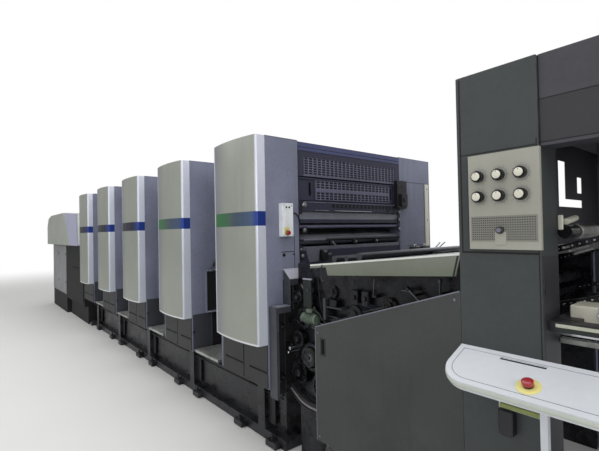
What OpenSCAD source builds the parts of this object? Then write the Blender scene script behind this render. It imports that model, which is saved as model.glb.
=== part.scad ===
// Five-unit sheet-fed offset printing press: feeder, five printing units and delivery in one line.
// +X runs along the line towards the delivery, +Y from the operator side to the drive side, +Z up.
// The origin is on the floor, at the middle of the press's outer box.

/* [Line of units] */
// Number of printing units
unit_count = 5; // [2:1:6]
// Distance from one unit to the next along the line
unit_pitch = 1190; // [1100:10:1300]
// Height of the unit housings above the floor
press_h = 2170; // [2000:10:2300]
// Width from the operator side face to the drive side face
press_w = 1952; // [1800:4:2100]

/* [Machine bed] */
// Height of the cast bed under the units
bed_h = 450; // [380:10:500]
// How far the bed stands back from both side faces
bed_inset = 120; // [80:5:160]
// Thickness of the bed's foot plate
bed_foot_t = 70; // [50:5:100]
// Thickness of the bed's top flange
bed_flange_t = 50; // [30:5:70]
// How far the bed's wall stands back from its flanges
bed_waist = 60; // [30:5:90]

/* [Unit housings] */
// Length of a housing along the line
housing_l = 640; // [560:10:700]
// Width of the operator side housing
os_housing_w = 289; // [240:1:320]
// Width of the drive side housing
ds_housing_w = 473; // [400:1:520]
// Depth of the shallow service frame on a housing's delivery face
service_t = 14; // [8:1:20]

/* [Front covers] */
// Height of a front cover's lower edge
cover_z0 = 752; // [700:2:800]
// Length of a unit's front cover, from the delivery face
cover_l = 580; // [540:1:640]
// How far a front cover bulges out of the housing
cover_bulge = 106; // [80:1:140]
// Radius of the cover's curve, seen from above
cover_curve_r = 1450; // [1000:10:3000]
// Radius of the cover's rounded vertical edges
cover_edge_r = 20; // [10:1:35]

/* [Lower panels] */
// Length of a unit's two lower panels, from the delivery face
kick_l = 600; // [500:1:636]
// Thickness of the lower panels
kick_t = 8; // [4:1:20]
// Height of a lower panel's lower edge
kick_z0 = 464; // [440:2:500]
// Height of the grip slot's middle
kick_slot_z = 564; // [520:1:640]
// Height of the grip slot
kick_slot_h = 14; // [8:1:24]

/* [Gallery between units] */
// Height of the gallery tread above the bed
tread_rise = 24; // [16:1:60]
// How far the tread's front edge lies behind the operator side face
tread_setback = 20; // [0:5:60]
// Free space between a tread and the next unit's housing
tread_free = 110; // [20:5:160]

/* [Guards] */
// Thickness of the guard frame's rails
guard_rail_t = 20; // [14:1:30]
// Thickness of the sheet guards
guard_sheet_t = 6; // [3:1:10]
// Height of the roof sheet's top over the housings' inner rollers
roof_z = 2090; // [1980:2:2100]
// Lower edge of the guard frame
guard_z0 = 1660; // [1600:2:1690]
// Lower edge of the lower guard window
guard_low_z = 1734; // [1700:2:1760]
// Upper edge of the lower guard window
guard_mid_z = 1916; // [1860:2:1930]
// Height of the rail between the two guard windows
guard_mid_h = 14; // [10:1:30]
// Upper edge of the upper guard window
guard_top_z = 2062; // [2000:2:2070]
// Width of the guard frame's stiles
guard_stile_w = 60; // [30:1:80]
// Width of the drive side stile that carries the guard bracket
bracket_stile_w = 87; // [80:1:110]
// Radius of the swinging guard's hinge pin
hinge_pin_r = 6; // [4:0.5:8]
// Radial clearance of the hinge pin
pin_gap = 0.05; // [0.02:0.01:0.1]

/* [Cylinders] */
// Radius of the plate and blanket cylinders
cyl_r = 135; // [120:1:140]
// Radius of the impression cylinder
impression_r = 270; // [240:1:280]
// Distance of the plate cylinder's axis behind the delivery face
plate_x = 240; // [220:1:250]
// Height of the plate cylinder's axis
plate_z = 1442; // [1400:1:1470]
// Gap between cylinders at the nip
nip_gap = 0.4; // [0.3:0.1:1]
// Gap between a turning cylinder's end and the housing
cylinder_end_gap = 5; // [3:0.5:8]
// Radius of the cylinders' journals
journal_r = 45; // [30:1:60]
// Depth of the journal bores in the housings
journal_l = 70; // [40:5:100]
// Radius of the ink form rollers
form_r = 34; // [28:1:38]
// Radius of the ink drums
drum_r = 42; // [34:1:46]

/* [Delivery side frames] */
// Distance from the operator side face to the delivery's frame plate
frame_plate_y = 200; // [180:5:240]
// Thickness of the delivery's frame plates
frame_plate_t = 40; // [30:1:50]
// Start of the side panel along the line
panel_x0 = 481; // [440:1:520]
// Height of the side panel's lower edge
panel_z0 = 305; // [260:1:340]
// Height of the side panel's upper edge at the units' end
panel_za = 957; // [900:1:1000]
// Height of the side panel's upper edge at the tower
panel_zb = 1255; // [1180:1:1280]
// Thickness of the side panel
panel_t = 30; // [20:1:40]

/* [Delivery platform] */
// Start of the platform cover along the line
platform_x0 = 448; // [400:1:480]
// Height of the platform's edge at the units' end
platform_za = 1316; // [1290:1:1330]
// Height of the platform's edge at the tower
platform_zb = 1411; // [1370:1:1430]
// Thickness of the platform cover
platform_t = 22; // [16:1:30]
// Height of the skirt under the platform's edge
skirt_h = 66; // [50:1:80]
// Thickness of the skirt
skirt_t = 18; // [10:1:24]

/* [Delivery towers] */
// Start of the towers along the line
tower_x0 = 1390; // [1340:1:1420]
// Length of the towers along the line
tower_l = 308; // [280:1:340]
// Width of a tower
tower_w = 165; // [140:5:180]
// Height of the towers and the header
tower_h = 2130; // [2050:5:2170]
// Height of the header's side beams
header_h = 330; // [290:5:390]
// End of the delivery along the line
delivery_x1 = 2750; // [2550:10:2900]
// Length and width of the end posts
end_post = 150; // [120:5:180]
// How far the header's ceiling stands above its side beams' lower edge
hood_lift = 40; // [20:5:80]
// Width of the header's side beams
hood_beam_w = 100; // [80:5:140]
// Distance of the partition above the platform behind the towers' first face
partition_in = 40; // [20:5:100]
// Height of the delivery's pile board
pile_z = 140; // [100:5:180]
// Height of the sheet brake's rails
brake_z = 1176; // [1150:2:1200]
// Radius of the ties between the frame plates
tie_r = 38; // [30:1:45]

/* [Knob panel] */
// Length of the knob panel
knob_panel_l = 262; // [250:1:270]
// Height of the knob panel's lower edge
knob_panel_z0 = 1430; // [1400:1:1450]
// Height of the knob panel
knob_panel_h = 368; // [360:1:380]
// Thickness of the knob panel
knob_panel_t = 16; // [14:1:22]
// Spacing of the knobs along the line
knob_pitch = 79; // [70:1:84]
// Spacing of the two rows of knobs
knob_row = 79; // [70:1:90]
// Radius of a knob
knob_r = 21; // [16:1:26]
// Height of a knob over the panel
knob_h = 26; // [16:1:32]

/* [Control desk] */
// Length of the control desk
desk_l = 1060; // [900:10:1150]
// Reach of the desk from the delivery's side face
desk_w = 200; // [180:5:230]
// Height of the desk's back edge
desk_z = 1040; // [1000:5:1080]
// Tilt of the desk towards the operator
desk_tilt = 22; // [15:1:28]
// Thickness of the desk
desk_t = 34; // [28:1:44]
// Radius of the stop button's head
stop_r = 19; // [16:1:22]
// Travel of the stop buttons
stop_travel = 6; // [4:1:8]

/* [Feeder] */
// Distance from the first unit's face to the end of the feeder
feeder_l = 3000; // [2800:10:3200]
// Length of the feeder's pile frame
feeder_frame_l = 1500; // [1300:10:1600]
// Height of the feeder's cabinets
feeder_cab_h = 1340; // [1280:5:1400]
// Height of the feeder's hood
feeder_h = 1950; // [1850:5:2050]
// How far the feeder's hood bulges out on the operator side
feeder_bulge = 120; // [90:5:150]
// Width of the feeder's cabinets
feeder_cab_w = 300; // [260:5:340]
// Height of the foot under the feeder's second cabinet
feeder_foot_h = 300; // [240:5:340]
// Height of the feeder's pile board
feeder_pile_z = 120; // [90:5:150]
// Height of the feeder head
feeder_head_h = 200; // [160:5:240]

/* [Hidden] */
$fn = 96;
unit_ids = [for (k = [1:unit_count]) k];
unit_nodes = [for (k = unit_ids, part = ["housings", "front_cover", "guards", "rollers"])
    str("unit_", k, "_", part)];
knob_nodes = [for (r = [1:2], c = [1:3]) str("knob_", r, c)];

touch = 0.01;
seat = 0.3;
last = unit_count;
back_sheet_t = 16;
feeder_x2 = face_x(1) - housing_l - 20;
hinge_x = -guard_rail_t / 2 - 1;
hinge_tube_r = hinge_pin_r + 4;
hinge_z = guard_mid_z - hinge_tube_r - 6;
hinge_pin_l = 22;
casing_depth = 70;
feeder_x0 = -(unit_count - 1) * unit_pitch - housing_l - feeder_l;
mid_x = (feeder_x0 + delivery_x1) / 2;
mid_y = (press_w - desk_w) / 2;
inner_y0 = os_housing_w;
inner_y1 = press_w - ds_housing_w;
swing_y0 = inner_y0 + 8;
swing_y1 = inner_y1 - bracket_stile_w;
gap_l = unit_pitch - housing_l;
tower_x1 = tower_x0 + tower_l;
header_z0 = tower_h - header_h;
platform_x1 = tower_x0;
platform_slope = (platform_zb - platform_za) / (platform_x1 - platform_x0);
ds_plate_y = press_w - frame_plate_y - frame_plate_t;
blanket_z = plate_z - 2 * cyl_r - nip_gap;
impression_x = housing_l - back_sheet_t - 4 - impression_r;
impression_z = blanket_z - sqrt(pow(cyl_r + impression_r + nip_gap, 2) - pow(impression_x - plate_x, 2));
silver = [0.60, 0.62, 0.58];
grey_violet = [0.40, 0.40, 0.46];
charcoal = [0.26, 0.29, 0.28];
graphite = [0.14, 0.15, 0.17];
steel = [0.66, 0.67, 0.68];
pale = [0.80, 0.82, 0.83];
panel_grey = [0.34, 0.36, 0.35];
skirt_grey = [0.50, 0.53, 0.49];

// X of a unit's delivery face
function face_x(k) = -unit_pitch * (unit_count - k);
// Height of the platform's top at a place along the line
function platform_z(x) = platform_za + platform_slope * (x - platform_x0);

// Moves a shape from the line's own axes to the origin in the middle of the press
module placed() {
    translate([-mid_x, -mid_y, 0]) children();
}

// Box from its low corner to its high corner
module span(low, high) {
    translate(low) cube(high - low);
}

// Round bar along Y between two heights of Y
module bar_y(x, z, r, y0, y1) {
    translate([x, y0, z]) rotate([-90, 0, 0]) cylinder(r = r, h = y1 - y0);
}

// Side outline, drawn in X and Z, made solid from y0 to y1
module side_slab(y0, y1) {
    translate([0, y1, 0]) rotate([90, 0, 0]) linear_extrude(y1 - y0) children();
}

module machine_bed() placed() color(graphite) {
    bed_x0 = feeder_x2;
    bed_x1 = service_t;
    low_y = bed_inset;
    high_y = press_w - bed_inset;
    span([bed_x0, low_y, 0], [bed_x1, high_y, bed_foot_t]);
    span([bed_x0 + bed_waist, low_y + bed_waist, bed_foot_t - touch],
        [bed_x1 - bed_waist, high_y - bed_waist, bed_h - bed_flange_t + touch]);
    span([bed_x0, low_y, bed_h - bed_flange_t], [bed_x1, high_y, bed_h]);
    for (k = unit_ids, side = [0, 1])
        translate([face_x(k) - housing_l / 2, side ? high_y - bed_waist : low_y, bed_foot_t - touch])
            cube([90, bed_waist, bed_h - bed_foot_t - bed_flange_t + 2 * touch]);
}

module lower_panels() placed() color(panel_grey) {
    seam = 10;
    slot_starts = [42, 73];
    half = kick_l / 2;
    for (k = unit_ids, side = [0, 1])
        difference() {
            x0 = face_x(k) - kick_l + side * (half + seam / 2);
            x1 = x0 + half - seam / 2;
            span([x0, -kick_t, kick_z0], [x1, 0, cover_z0 - 4]);
            span([x0 + slot_starts[side], -kick_t - 1, kick_slot_z - kick_slot_h / 2],
                [x1 + 1, 1, kick_slot_z + kick_slot_h / 2]);
        }
}

module gallery_treads() placed() color(steel) {
    side_gap = 2;
    for (k = unit_ids)
        if (k < last)
            span([face_x(k) + service_t + side_gap, tread_setback, bed_h],
                [face_x(k) + gap_l - tread_free, press_w, bed_h + tread_rise]);
}

// Bore for a cylinder's journal, open towards the rollers
module journal_bore(x, z, wall_y, side) {
    r = journal_r + pin_gap;
    y0 = side ? wall_y - 1 : wall_y - journal_l;
    bar_y(x, z, r, y0, y0 + journal_l + 1);
}

module unit_housings(k) placed() color(grey_violet) {
    x1 = face_x(k);
    x0 = x1 - housing_l;
    service_z = [cover_z0 + 38, cover_z0 + 414];
    service_y = [os_housing_w - 149, os_housing_w - 27];
    difference() {
        union() {
            span([x0, 0, bed_h], [x1, os_housing_w, press_h]);
            span([x1 - touch, service_y[0], service_z[0]], [x1 + service_t, service_y[1], service_z[1]]);
        }
        if (k == last) {
            journal_bore(-plate_x, plate_z, inner_y0, false);
            journal_bore(-plate_x, blanket_z, inner_y0, false);
        }
    }
    difference() {
        span([x0, inner_y1, bed_h], [x1, press_w, press_h]);
        if (k == last) {
            journal_bore(-plate_x, plate_z, inner_y1, true);
            journal_bore(-plate_x, blanket_z, inner_y1, true);
        }
    }
}

// Cover's outline seen from above: a shallow arc between two rounded edges
module cover_outline() {
    arc_y = cover_curve_r - cover_bulge;
    edge_x = cover_l / 2 - cover_edge_r;
    edge_y = arc_y - sqrt(pow(cover_curve_r - cover_edge_r, 2) - pow(edge_x, 2));
    join_x = edge_x * cover_curve_r / (cover_curve_r - cover_edge_r);
    intersection() {
        translate([0, arc_y]) circle(r = cover_curve_r, $fn = 360);
        translate([-join_x, -cover_bulge]) square([2 * join_x, cover_bulge]);
    }
    for (side = [-1, 1]) {
        translate([side * edge_x, edge_y]) circle(r = cover_edge_r);
        translate([side * edge_x - (side < 0 ? cover_edge_r : 0), edge_y]) square([cover_edge_r, -edge_y]);
    }
}

module front_cover(k) placed() {
    x = face_x(k) - cover_l / 2;
    color(silver)
        translate([x, 0, cover_z0]) linear_extrude(press_h - cover_z0) cover_outline();
}

module unit_guards(k) placed() color(graphite) {
    x1 = face_x(k);
    x0 = x1 - housing_l;
    window_y0 = inner_y0 + guard_stile_w;
    window_y1 = inner_y1 - guard_stile_w;
    window_low = k == last ? swing_y0 : window_y0;
    window_high = k == last ? swing_y1 : window_y1;
    rail_x = x1 - guard_rail_t;
    sheet_z0 = bed_h + 110;
    sheet_z1 = plate_z - 67;
    lip_z = guard_z0 - 87;
    roof_t = 40;
    rail_d = 60;
    top_rail_z0 = press_h - 70;
    span([x0, inner_y0, sheet_z0], [x0 + back_sheet_t, inner_y1, roof_z - roof_t + touch]);
    span([x0, inner_y0, roof_z - roof_t], [x1 - rail_d - 2, inner_y1, roof_z]);
    span([x1 - rail_d, inner_y0, top_rail_z0], [x1, inner_y1, press_h - 5]);
    difference() {
        span([rail_x, inner_y0, guard_z0], [x1 - 2, inner_y1, top_rail_z0]);
        span([rail_x - 1, window_y0, guard_mid_z + guard_mid_h], [x1, window_y1, guard_top_z]);
        span([rail_x - 1, window_low, guard_low_z], [x1, window_high, guard_mid_z]);
    }
    span([rail_x + 2, window_y0 - touch, guard_mid_z + guard_mid_h - touch],
        [rail_x + 2 + guard_sheet_t, window_y1 + touch, guard_top_z + touch]);
    if (k < last)
        span([rail_x + 2, window_y0 - touch, guard_low_z - touch],
            [rail_x + 2 + guard_sheet_t, window_y1 + touch, guard_mid_z + touch]);
    span([x1 - 30, inner_y0, lip_z], [x1 - 8, inner_y1, lip_z + 25]);
    span([x1 - 26, inner_y0, sheet_z0], [x1 - 10, inner_y1, k == last ? sheet_z1 : sheet_z1 - 100]);
    if (k == last) {
        bar_y(hinge_x, hinge_z, hinge_pin_r, inner_y0, swing_y0 + hinge_pin_l);
        bar_y(hinge_x, hinge_z, hinge_pin_r, swing_y1 - hinge_pin_l, swing_y1 + touch);
    }
}

module swing_guard() placed() color(graphite) {
    end_gap = 5;
    y0 = swing_y0 + end_gap;
    y1 = swing_y1 - end_gap;
    z0 = guard_low_z + 6;
    bore_l = hinge_pin_l + 1 - end_gap;
    slot_w = 16;
    slot_h = 90;
    slot_y = [y0 + 97, y1 - 23 - slot_w];
    difference() {
        union() {
            bar_y(hinge_x, hinge_z, hinge_tube_r, y0, y1);
            span([hinge_x - guard_sheet_t / 2, y0, z0], [hinge_x + guard_sheet_t / 2, y1, hinge_z]);
        }
        for (y = [y0 - 1, y1 - bore_l])
            bar_y(hinge_x, hinge_z, hinge_pin_r + pin_gap, y, y + bore_l + 1);
        for (y = slot_y)
            span([hinge_x - guard_sheet_t, y, z0 + 40],
                [hinge_x + guard_sheet_t, y + slot_w, z0 + 40 + slot_h]);
    }
}

// Rollers and drums of one inking unit: place behind and above the plate cylinder's axis, and radius
inking = [
    [30, 171, form_r], [117, 128, form_r], [-5, 250, drum_r], [87, 226, drum_r], [171, 194, drum_r],
    [41, 320, form_r], [147, 306, form_r], [-25, 386, drum_r], [87, 410, drum_r], [197, 398, drum_r],
    [25, 488, drum_r], [137, 508, form_r]];
// Rollers close behind the delivery face: distance behind it, height and radius
outer_rollers = [[60, guard_z0 - 30, 28], [52, plate_z + 3, 34]];

// Plain cylinder with its two bare bearer rings, between the housings
module press_cylinder(x, z, r) {
    bearer = 26;
    groove = 4;
    y0 = inner_y0 + cylinder_end_gap;
    y1 = inner_y1 - cylinder_end_gap;
    bar_y(x, z, r, y0, y0 + bearer);
    bar_y(x, z, r - groove, y0 + bearer - touch, y1 - bearer + touch);
    bar_y(x, z, r, y1 - bearer, y1);
}

module unit_rollers(k) placed() color(steel) {
    x1 = face_x(k);
    for (roller = inking)
        bar_y(x1 - plate_x - roller[0], plate_z + roller[1], roller[2], inner_y0, inner_y1);
    for (roller = outer_rollers)
        bar_y(x1 - roller[0], roller[1], roller[2], inner_y0, inner_y1);
    bar_y(x1 - impression_x, impression_z, impression_r, inner_y0, inner_y1);
    if (k < last)
        for (z = [plate_z, blanket_z])
            bar_y(x1 - plate_x, z, cyl_r, inner_y0, inner_y1);
}

module plate_cylinder() placed() color(steel) turning_cylinder(plate_z);

module blanket_cylinder() placed() color(steel) turning_cylinder(blanket_z);

module turning_cylinder(z) {
    press_cylinder(-plate_x, z, cyl_r);
    end_gap = 2;
    overlap = cylinder_end_gap + 1;
    bar_y(-plate_x, z, journal_r, inner_y0 - journal_l + end_gap, inner_y0 + overlap);
    bar_y(-plate_x, z, journal_r, inner_y1 - overlap, inner_y1 + journal_l - end_gap);
}

// Sheet casing with two steps around the open gear space, on the last unit's delivery face
module step_casing() placed() color(grey_violet) {
    skin = 4;
    front = service_t + casing_depth;
    lip = 40;
    step_y = 133;
    // rear face, low and high Y, low and high Z, and drop of the lid towards the front, for the two steps
    upper = [service_t, step_y, os_housing_w - 12, bed_h + 520, bed_h + 800, 62];
    lower = [service_t, 28, step_y + touch, bed_h - 50, bed_h + 558, 0];
    for (box = [upper, lower])
        difference() {
            side_slab(box[1], box[2]) polygon([[box[0], box[3]], [front, box[3]],
                [front, box[4] - box[5]], [box[0], box[4]]]);
            span([box[0] + skin, box[1] + skin, box[3] - 1],
                [front + 1, box[2] + 1, box[4] - box[5] - lip]);
        }
}

module guard_bracket() placed() color(graphite) {
    bracket_t = 34;
    block_t = 28;
    y0 = swing_y1 + 10;
    span([0, y0, guard_low_z - 34], [bracket_t, inner_y1 + 64, guard_mid_z + 34]);
    span([bracket_t - touch, y0 + 30, guard_low_z - 14],
        [bracket_t + block_t, inner_y1 + 36, guard_low_z + 96]);
}

module gear_train() placed() color(graphite) {
    gear_y1 = frame_plate_y;
    // distance past the face, height, radius and thickness
    wheels = [[130, 790, 58, 45], [215, 945, 70, 60], [272, 700, 92, 50], [130, 1070, 44, 40],
        [250, 1130, 40, 36], [140, 570, 78, 45], [345, 520, 88, 40]];
    for (wheel = wheels) {
        bar_y(wheel[0], wheel[1], wheel[2], gear_y1 - wheel[3], gear_y1);
        bar_y(wheel[0], wheel[1], wheel[2] * 0.3, gear_y1 - wheel[3] - 22, gear_y1 - wheel[3] + touch);
    }
}

module delivery_plate_outline() {
    x0 = service_t + casing_depth + 6;
    foot_l = [170, 240];
    arch_h = 200;
    arch_run = 70;
    arch_x0 = x0 + foot_l[0];
    arch_x1 = tower_x0 - foot_l[1];
    polygon([[x0, 0], [arch_x0, 0], [arch_x0 + arch_run, arch_h], [arch_x1 - arch_run, arch_h],
        [arch_x1, 0], [tower_x0, 0],
        [tower_x0, platform_z(tower_x0) - platform_t], [platform_x0, platform_z(platform_x0) - platform_t],
        [x0, platform_z(platform_x0) - platform_t]]);
}

module delivery_frames() placed() color(graphite) {
    window_l = 560;
    window_h = 330;
    window_x = tower_x0 - 210 - window_l;
    window_z = platform_za - 226 - window_h;
    for (y = [frame_plate_y, ds_plate_y])
        side_slab(y, y + frame_plate_t) difference() {
            delivery_plate_outline();
            translate([window_x, window_z]) square([window_l, window_h]);
        }
}

module delivery_os_panel() placed() color(charcoal) {
    grip_x = 545;
    grip_z = 850;
    grip = [26, 84];
    difference() {
        side_slab(0, panel_t) polygon([[panel_x0, panel_z0], [tower_x0 - 1, panel_z0],
            [tower_x0 - 1, panel_zb], [panel_x0, panel_za]]);
        span([grip_x - grip[0] / 2, -1, grip_z - grip[1] / 2],
            [grip_x + grip[0] / 2, panel_t + 1, grip_z + grip[1] / 2]);
    }
    for (x = [grip_x + 60, tower_x0 - 60], z = [panel_z0 + 60, panel_za - 60])
        bar_y(x, z, 14, panel_t - touch, frame_plate_y);
}

module delivery_ds_housing() placed() color(grey_violet) {
    side_slab(ds_plate_y + frame_plate_t, press_w)
        polygon([[service_t, 0], [tower_x0, 0], [tower_x0, platform_z(tower_x0) - platform_t],
            [platform_x0, platform_z(platform_x0) - platform_t],
            [service_t, platform_z(platform_x0) - platform_t]]);
}

module delivery_ties() placed() color(graphite) {
    y0 = frame_plate_y + frame_plate_t;
    low_z = panel_z0 + 25;
    for (tie = [[200, low_z], [tower_x0 / 2, low_z - 10], [tower_x0 - 140, low_z],
            [tower_x0 - 100, brake_z + 4]])
        bar_y(tie[0], tie[1], tie_r, y0, ds_plate_y);
    for (end = [[chain_low, y0, ds_plate_y], [chain_high, end_post, press_w - end_post]]) {
        bar_y(end[0][0], end[0][1], chain_shaft_r, end[1], end[2]);
        for (y = [chain_y0, chain_y1 - chain_w])
            bar_y(end[0][0], end[0][1], chain_wheel_r - chain_t - 0.1, y, y + chain_w);
    }
}

chain_low = [260, 900];
chain_high = [delivery_x1 - 130, header_z0 - 210];
chain_wheel_r = 120;
chain_t = 24;
chain_w = 22;
chain_shaft_r = 30;
chain_y0 = frame_plate_y + frame_plate_t + 32;
chain_y1 = press_w - chain_y0;

// Two closed chain loops with the gripper bars that they carry, from the last unit to the pile
module gripper_chains() placed() color(graphite) {
    run = chain_high - chain_low;
    tilt = atan2(run[1], run[0]);
    bar = 32;
    for (y = [chain_y0, chain_y1 - chain_w])
        translate([chain_low[0], y + chain_w, chain_low[1]])
            rotate([90, 0, 0]) linear_extrude(chain_w) rotate(tilt)
                difference() {
                    chain_loop(norm(run), chain_wheel_r);
                    chain_loop(norm(run), chain_wheel_r - chain_t);
                }
    for (i = [0:5]) {
        along = chain_low + run * (0.12 + 0.155 * i);
        off = (i % 2 ? 1 : -1) * (chain_wheel_r - chain_t / 2);
        translate([along[0] - off * sin(tilt), chain_y0, along[1] + off * cos(tilt)]) rotate([0, -tilt, 0])
            translate([-bar / 2, 0, -bar / 2]) cube([bar, chain_y1 - chain_y0, bar]);
    }
}

// Outline of a chain around two wheels
module chain_loop(l, r) {
    circle(r = r);
    translate([l, 0]) circle(r = r);
    translate([0, -r]) square([l, 2 * r]);
}

module platform_cover() placed() {
    color(pale)
        side_slab(0, press_w) polygon([
            [platform_x0, platform_z(platform_x0) - platform_t],
            [platform_x1, platform_z(platform_x1) - platform_t],
            [platform_x1, platform_z(platform_x1)], [platform_x0, platform_z(platform_x0)]]);
    skirt_x0 = platform_x0 + 135;
    color(skirt_grey)
        side_slab(0, skirt_t) polygon([
            [skirt_x0, platform_z(skirt_x0) - platform_t + touch],
            [platform_x1, platform_z(platform_x1) - platform_t + touch],
            [platform_x1 - 22, platform_z(platform_x1) - platform_t - skirt_h - 10],
            [skirt_x0 + 14, platform_z(skirt_x0) - platform_t - skirt_h + 20]]);
}

module platform_rig() placed() color(graphite) {
    // radii of the cross bars that lie on the platform, from the units' end on
    bar_r = [20, 15, 22];
    bar_pitch = 100;
    first_x = platform_x0 + 52;
    side_gap = 150;
    for (i = [0:len(bar_r) - 1]) {
        x = first_x + i * bar_pitch;
        lift = bar_r[i] / cos(atan(platform_slope));
        bar_y(x, platform_z(x) + lift, bar_r[i], side_gap, press_w - side_gap);
    }
}

module delivery_os_tower() placed() color(charcoal)
    span([tower_x0, 0, 0], [tower_x1, tower_w, tower_h]);

module delivery_ds_tower() placed() color(charcoal)
    span([tower_x0, press_w - tower_w, 0], [tower_x1, press_w, tower_h]);

module delivery_header() placed() color(charcoal) {
    face_back = 12;
    beam_y = face_back + hood_beam_w;
    for (y = [face_back, press_w - beam_y])
        span([tower_x1, y, header_z0], [delivery_x1, y + hood_beam_w, tower_h]);
    span([tower_x1, beam_y - touch, header_z0 + hood_lift], [delivery_x1, press_w - beam_y + touch, tower_h]);
    header_partition();
}

// Sheet between the towers with a stepped window, hung from a roof strip
module header_partition() {
    sheet_t = 5;
    roof_t = 20;
    // from the press's drive side face to the window's far edge, and the window's length
    window_ds = 552;
    window_w = 395;
    window_y = press_w - window_ds - window_w;
    window_z0 = header_z0 - 175;
    x0 = tower_x0 + partition_in;
    span([x0, tower_w, tower_h - roof_t], [tower_x1 + touch, press_w - tower_w, tower_h]);
    difference() {
        span([x0, tower_w, platform_zb], [x0 + sheet_t, press_w - tower_w, tower_h - roof_t + touch]);
        span([x0 - 1, window_y, window_z0], [x0 + sheet_t + 1, window_y + 110, window_z0 + 260]);
        span([x0 - 1, window_y, window_z0], [x0 + sheet_t + 1, window_y + window_w, window_z0 + 45]);
        span([x0 - 1, window_y + window_w - 85, window_z0 + 88],
            [x0 + sheet_t + 1, window_y + window_w, window_z0 + 185]);
    }
}

module delivery_end_posts() placed() color(charcoal) {
    for (y = [0, press_w - end_post])
        span([delivery_x1 - end_post, y, 0], [delivery_x1, y + end_post, header_z0]);
}

module pile_lift() placed() color(steel) {
    board_t = 60;
    lug = 34;
    rod_r = 9;
    x0 = tower_x1 + 60;
    x1 = delivery_x1 - end_post - 60;
    y0 = chain_y0 + chain_w + 56;
    y1 = press_w - y0;
    span([x0, y0, pile_z], [x1, y1, pile_z + board_t]);
    for (x = [x0 + 40, x1 - 40], y = [y0 - lug + 10, y1 + lug - 10])
        translate([x, y, pile_z]) cylinder(r = rod_r, h = header_z0 + hood_lift - pile_z);
    for (x = [x0 + 40, x1 - 40], y = [y0 - lug, y1 - touch])
        translate([x - 20, y, pile_z]) cube([40, lug + touch, board_t]);
}

module sheet_brake() placed() color(graphite) {
    rail_h = 36;
    rail_w = 60;
    rail_y = 40;
    for (y = [rail_y, press_w - rail_y - rail_w])
        span([tower_x1, y, brake_z - rail_h], [delivery_x1 - end_post, y + rail_w, brake_z]);
    for (bar = [[tower_x1 + 202, 28], [tower_x1 + 292, 20]])
        bar_y(bar[0], brake_z + bar[1], bar[1], rail_y + 20, press_w - rail_y - 20);
}

module knob_panel() placed() {
    overhang = 8;
    x1 = tower_x1 + overhang;
    x0 = x1 - knob_panel_l;
    difference() {
        color(pale)
            span([x0, -knob_panel_t, knob_panel_z0], [x1, 0, knob_panel_z0 + knob_panel_h]);
        for (r = [1:2], c = [1:3]) {
            p = knob_at(r, c);
            bar_y(p[0], p[1], knob_shaft_r + pin_gap, -knob_panel_t - 1, -knob_panel_t + knob_shaft_l + 1);
        }
    }
}

knob_shaft_r = 4;
knob_shaft_l = 9;
knob_margin = 53;
knob_top_z = 282;
// Place of a knob along the line and its height
function knob_at(r, c) = [tower_x1 - knob_margin - knob_pitch * (3 - c),
    knob_panel_z0 + knob_top_z - knob_row * (r - 1)];

module knob(r, c) placed() color(graphite) {
    p = knob_at(r, c);
    back = -knob_panel_t - seat;
    ridge = [9, 34];
    translate([p[0], back, p[1]]) rotate([90, 0, 0]) {
        cylinder(r = knob_r, h = knob_h * 0.6);
        translate([-ridge[0] / 2, -ridge[1] / 2, knob_h * 0.6 - touch])
            cube([ridge[0], ridge[1], knob_h * 0.4 + touch]);
    }
    bar_y(p[0], p[1], knob_shaft_r, back - touch, back + seat + knob_shaft_l - 1);
}

// Tilted plane of the control desk, with its own Z square to the desk's top
module on_desk() {
    translate([tower_x0, 0, desk_z]) rotate([desk_tilt, 0, 0]) children();
}

desk_run = desk_w / cos(desk_tilt);
stop_x = 308;
stop_y = -desk_run * 0.69;
stop_stem_r = 8;
stop_stem_l = 24;

module control_desk() placed() color(pale) {
    end_r = desk_run / 2;
    desk_post();
    difference() {
        on_desk() translate([0, 0, -desk_t]) linear_extrude(desk_t) {
            translate([end_r, -desk_run]) square([desk_l - 2 * end_r, desk_run]);
            for (x = [end_r, desk_l - end_r])
                translate([x, -desk_run + end_r]) circle(r = end_r, $fn = 72);
            translate([0, -desk_run + end_r]) square([desk_l, desk_run - end_r]);
        }
        on_desk() translate([stop_x, stop_y, -desk_t - 1]) cylinder(r = stop_stem_r + pin_gap, h = desk_t + 2);
        span([tower_x0 - 1, 0, 0], [delivery_x1, desk_w, tower_h]);
    }
}

// Slender post under the desk and the bracket on the tower beside it
module desk_post() {
    post = 24;
    foot_t = 8;
    post_x = tower_x1;
    post_y = -52;
    post_z = desk_z + (post_y + post / 2) * tan(desk_tilt) - desk_t / cos(desk_tilt);
    bracket_z = desk_z - 200;
    span([post_x, post_y, 0], [post_x + post, post_y + post, post_z + 10]);
    span([post_x - 20, post_y - 15, 0], [post_x + post + 20, post_y + post + 15, foot_t]);
    span([post_x - 150, post_y + post, bracket_z], [post_x + touch, 0, bracket_z + 25]);
    span([post_x - touch, post_y + 4, bracket_z], [post_x + post - 4, post_y + post + 4, bracket_z + 25]);
}

module desk_stop_button() placed() color("red") on_desk() {
    lift = stop_travel + 5;
    translate([stop_x, stop_y, -stop_stem_l]) cylinder(r = stop_stem_r, h = stop_stem_l + lift + 1);
    translate([stop_x, stop_y, lift]) cylinder(r = stop_r, h = 12);
}

pendant = [112, 206, 1480, 1710];
pendant_t = 40;
pendant_stop = [152, 1505];

module pendant_panel() placed() color(pale) {
    difference() {
        span([0, pendant[0], pendant[2]], [pendant_t, pendant[1], pendant[3]]);
        translate([pendant_t - 20, pendant_stop[0], pendant_stop[1]]) rotate([0, 90, 0])
            cylinder(r = 5 + pin_gap, h = 21);
    }
}

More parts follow.
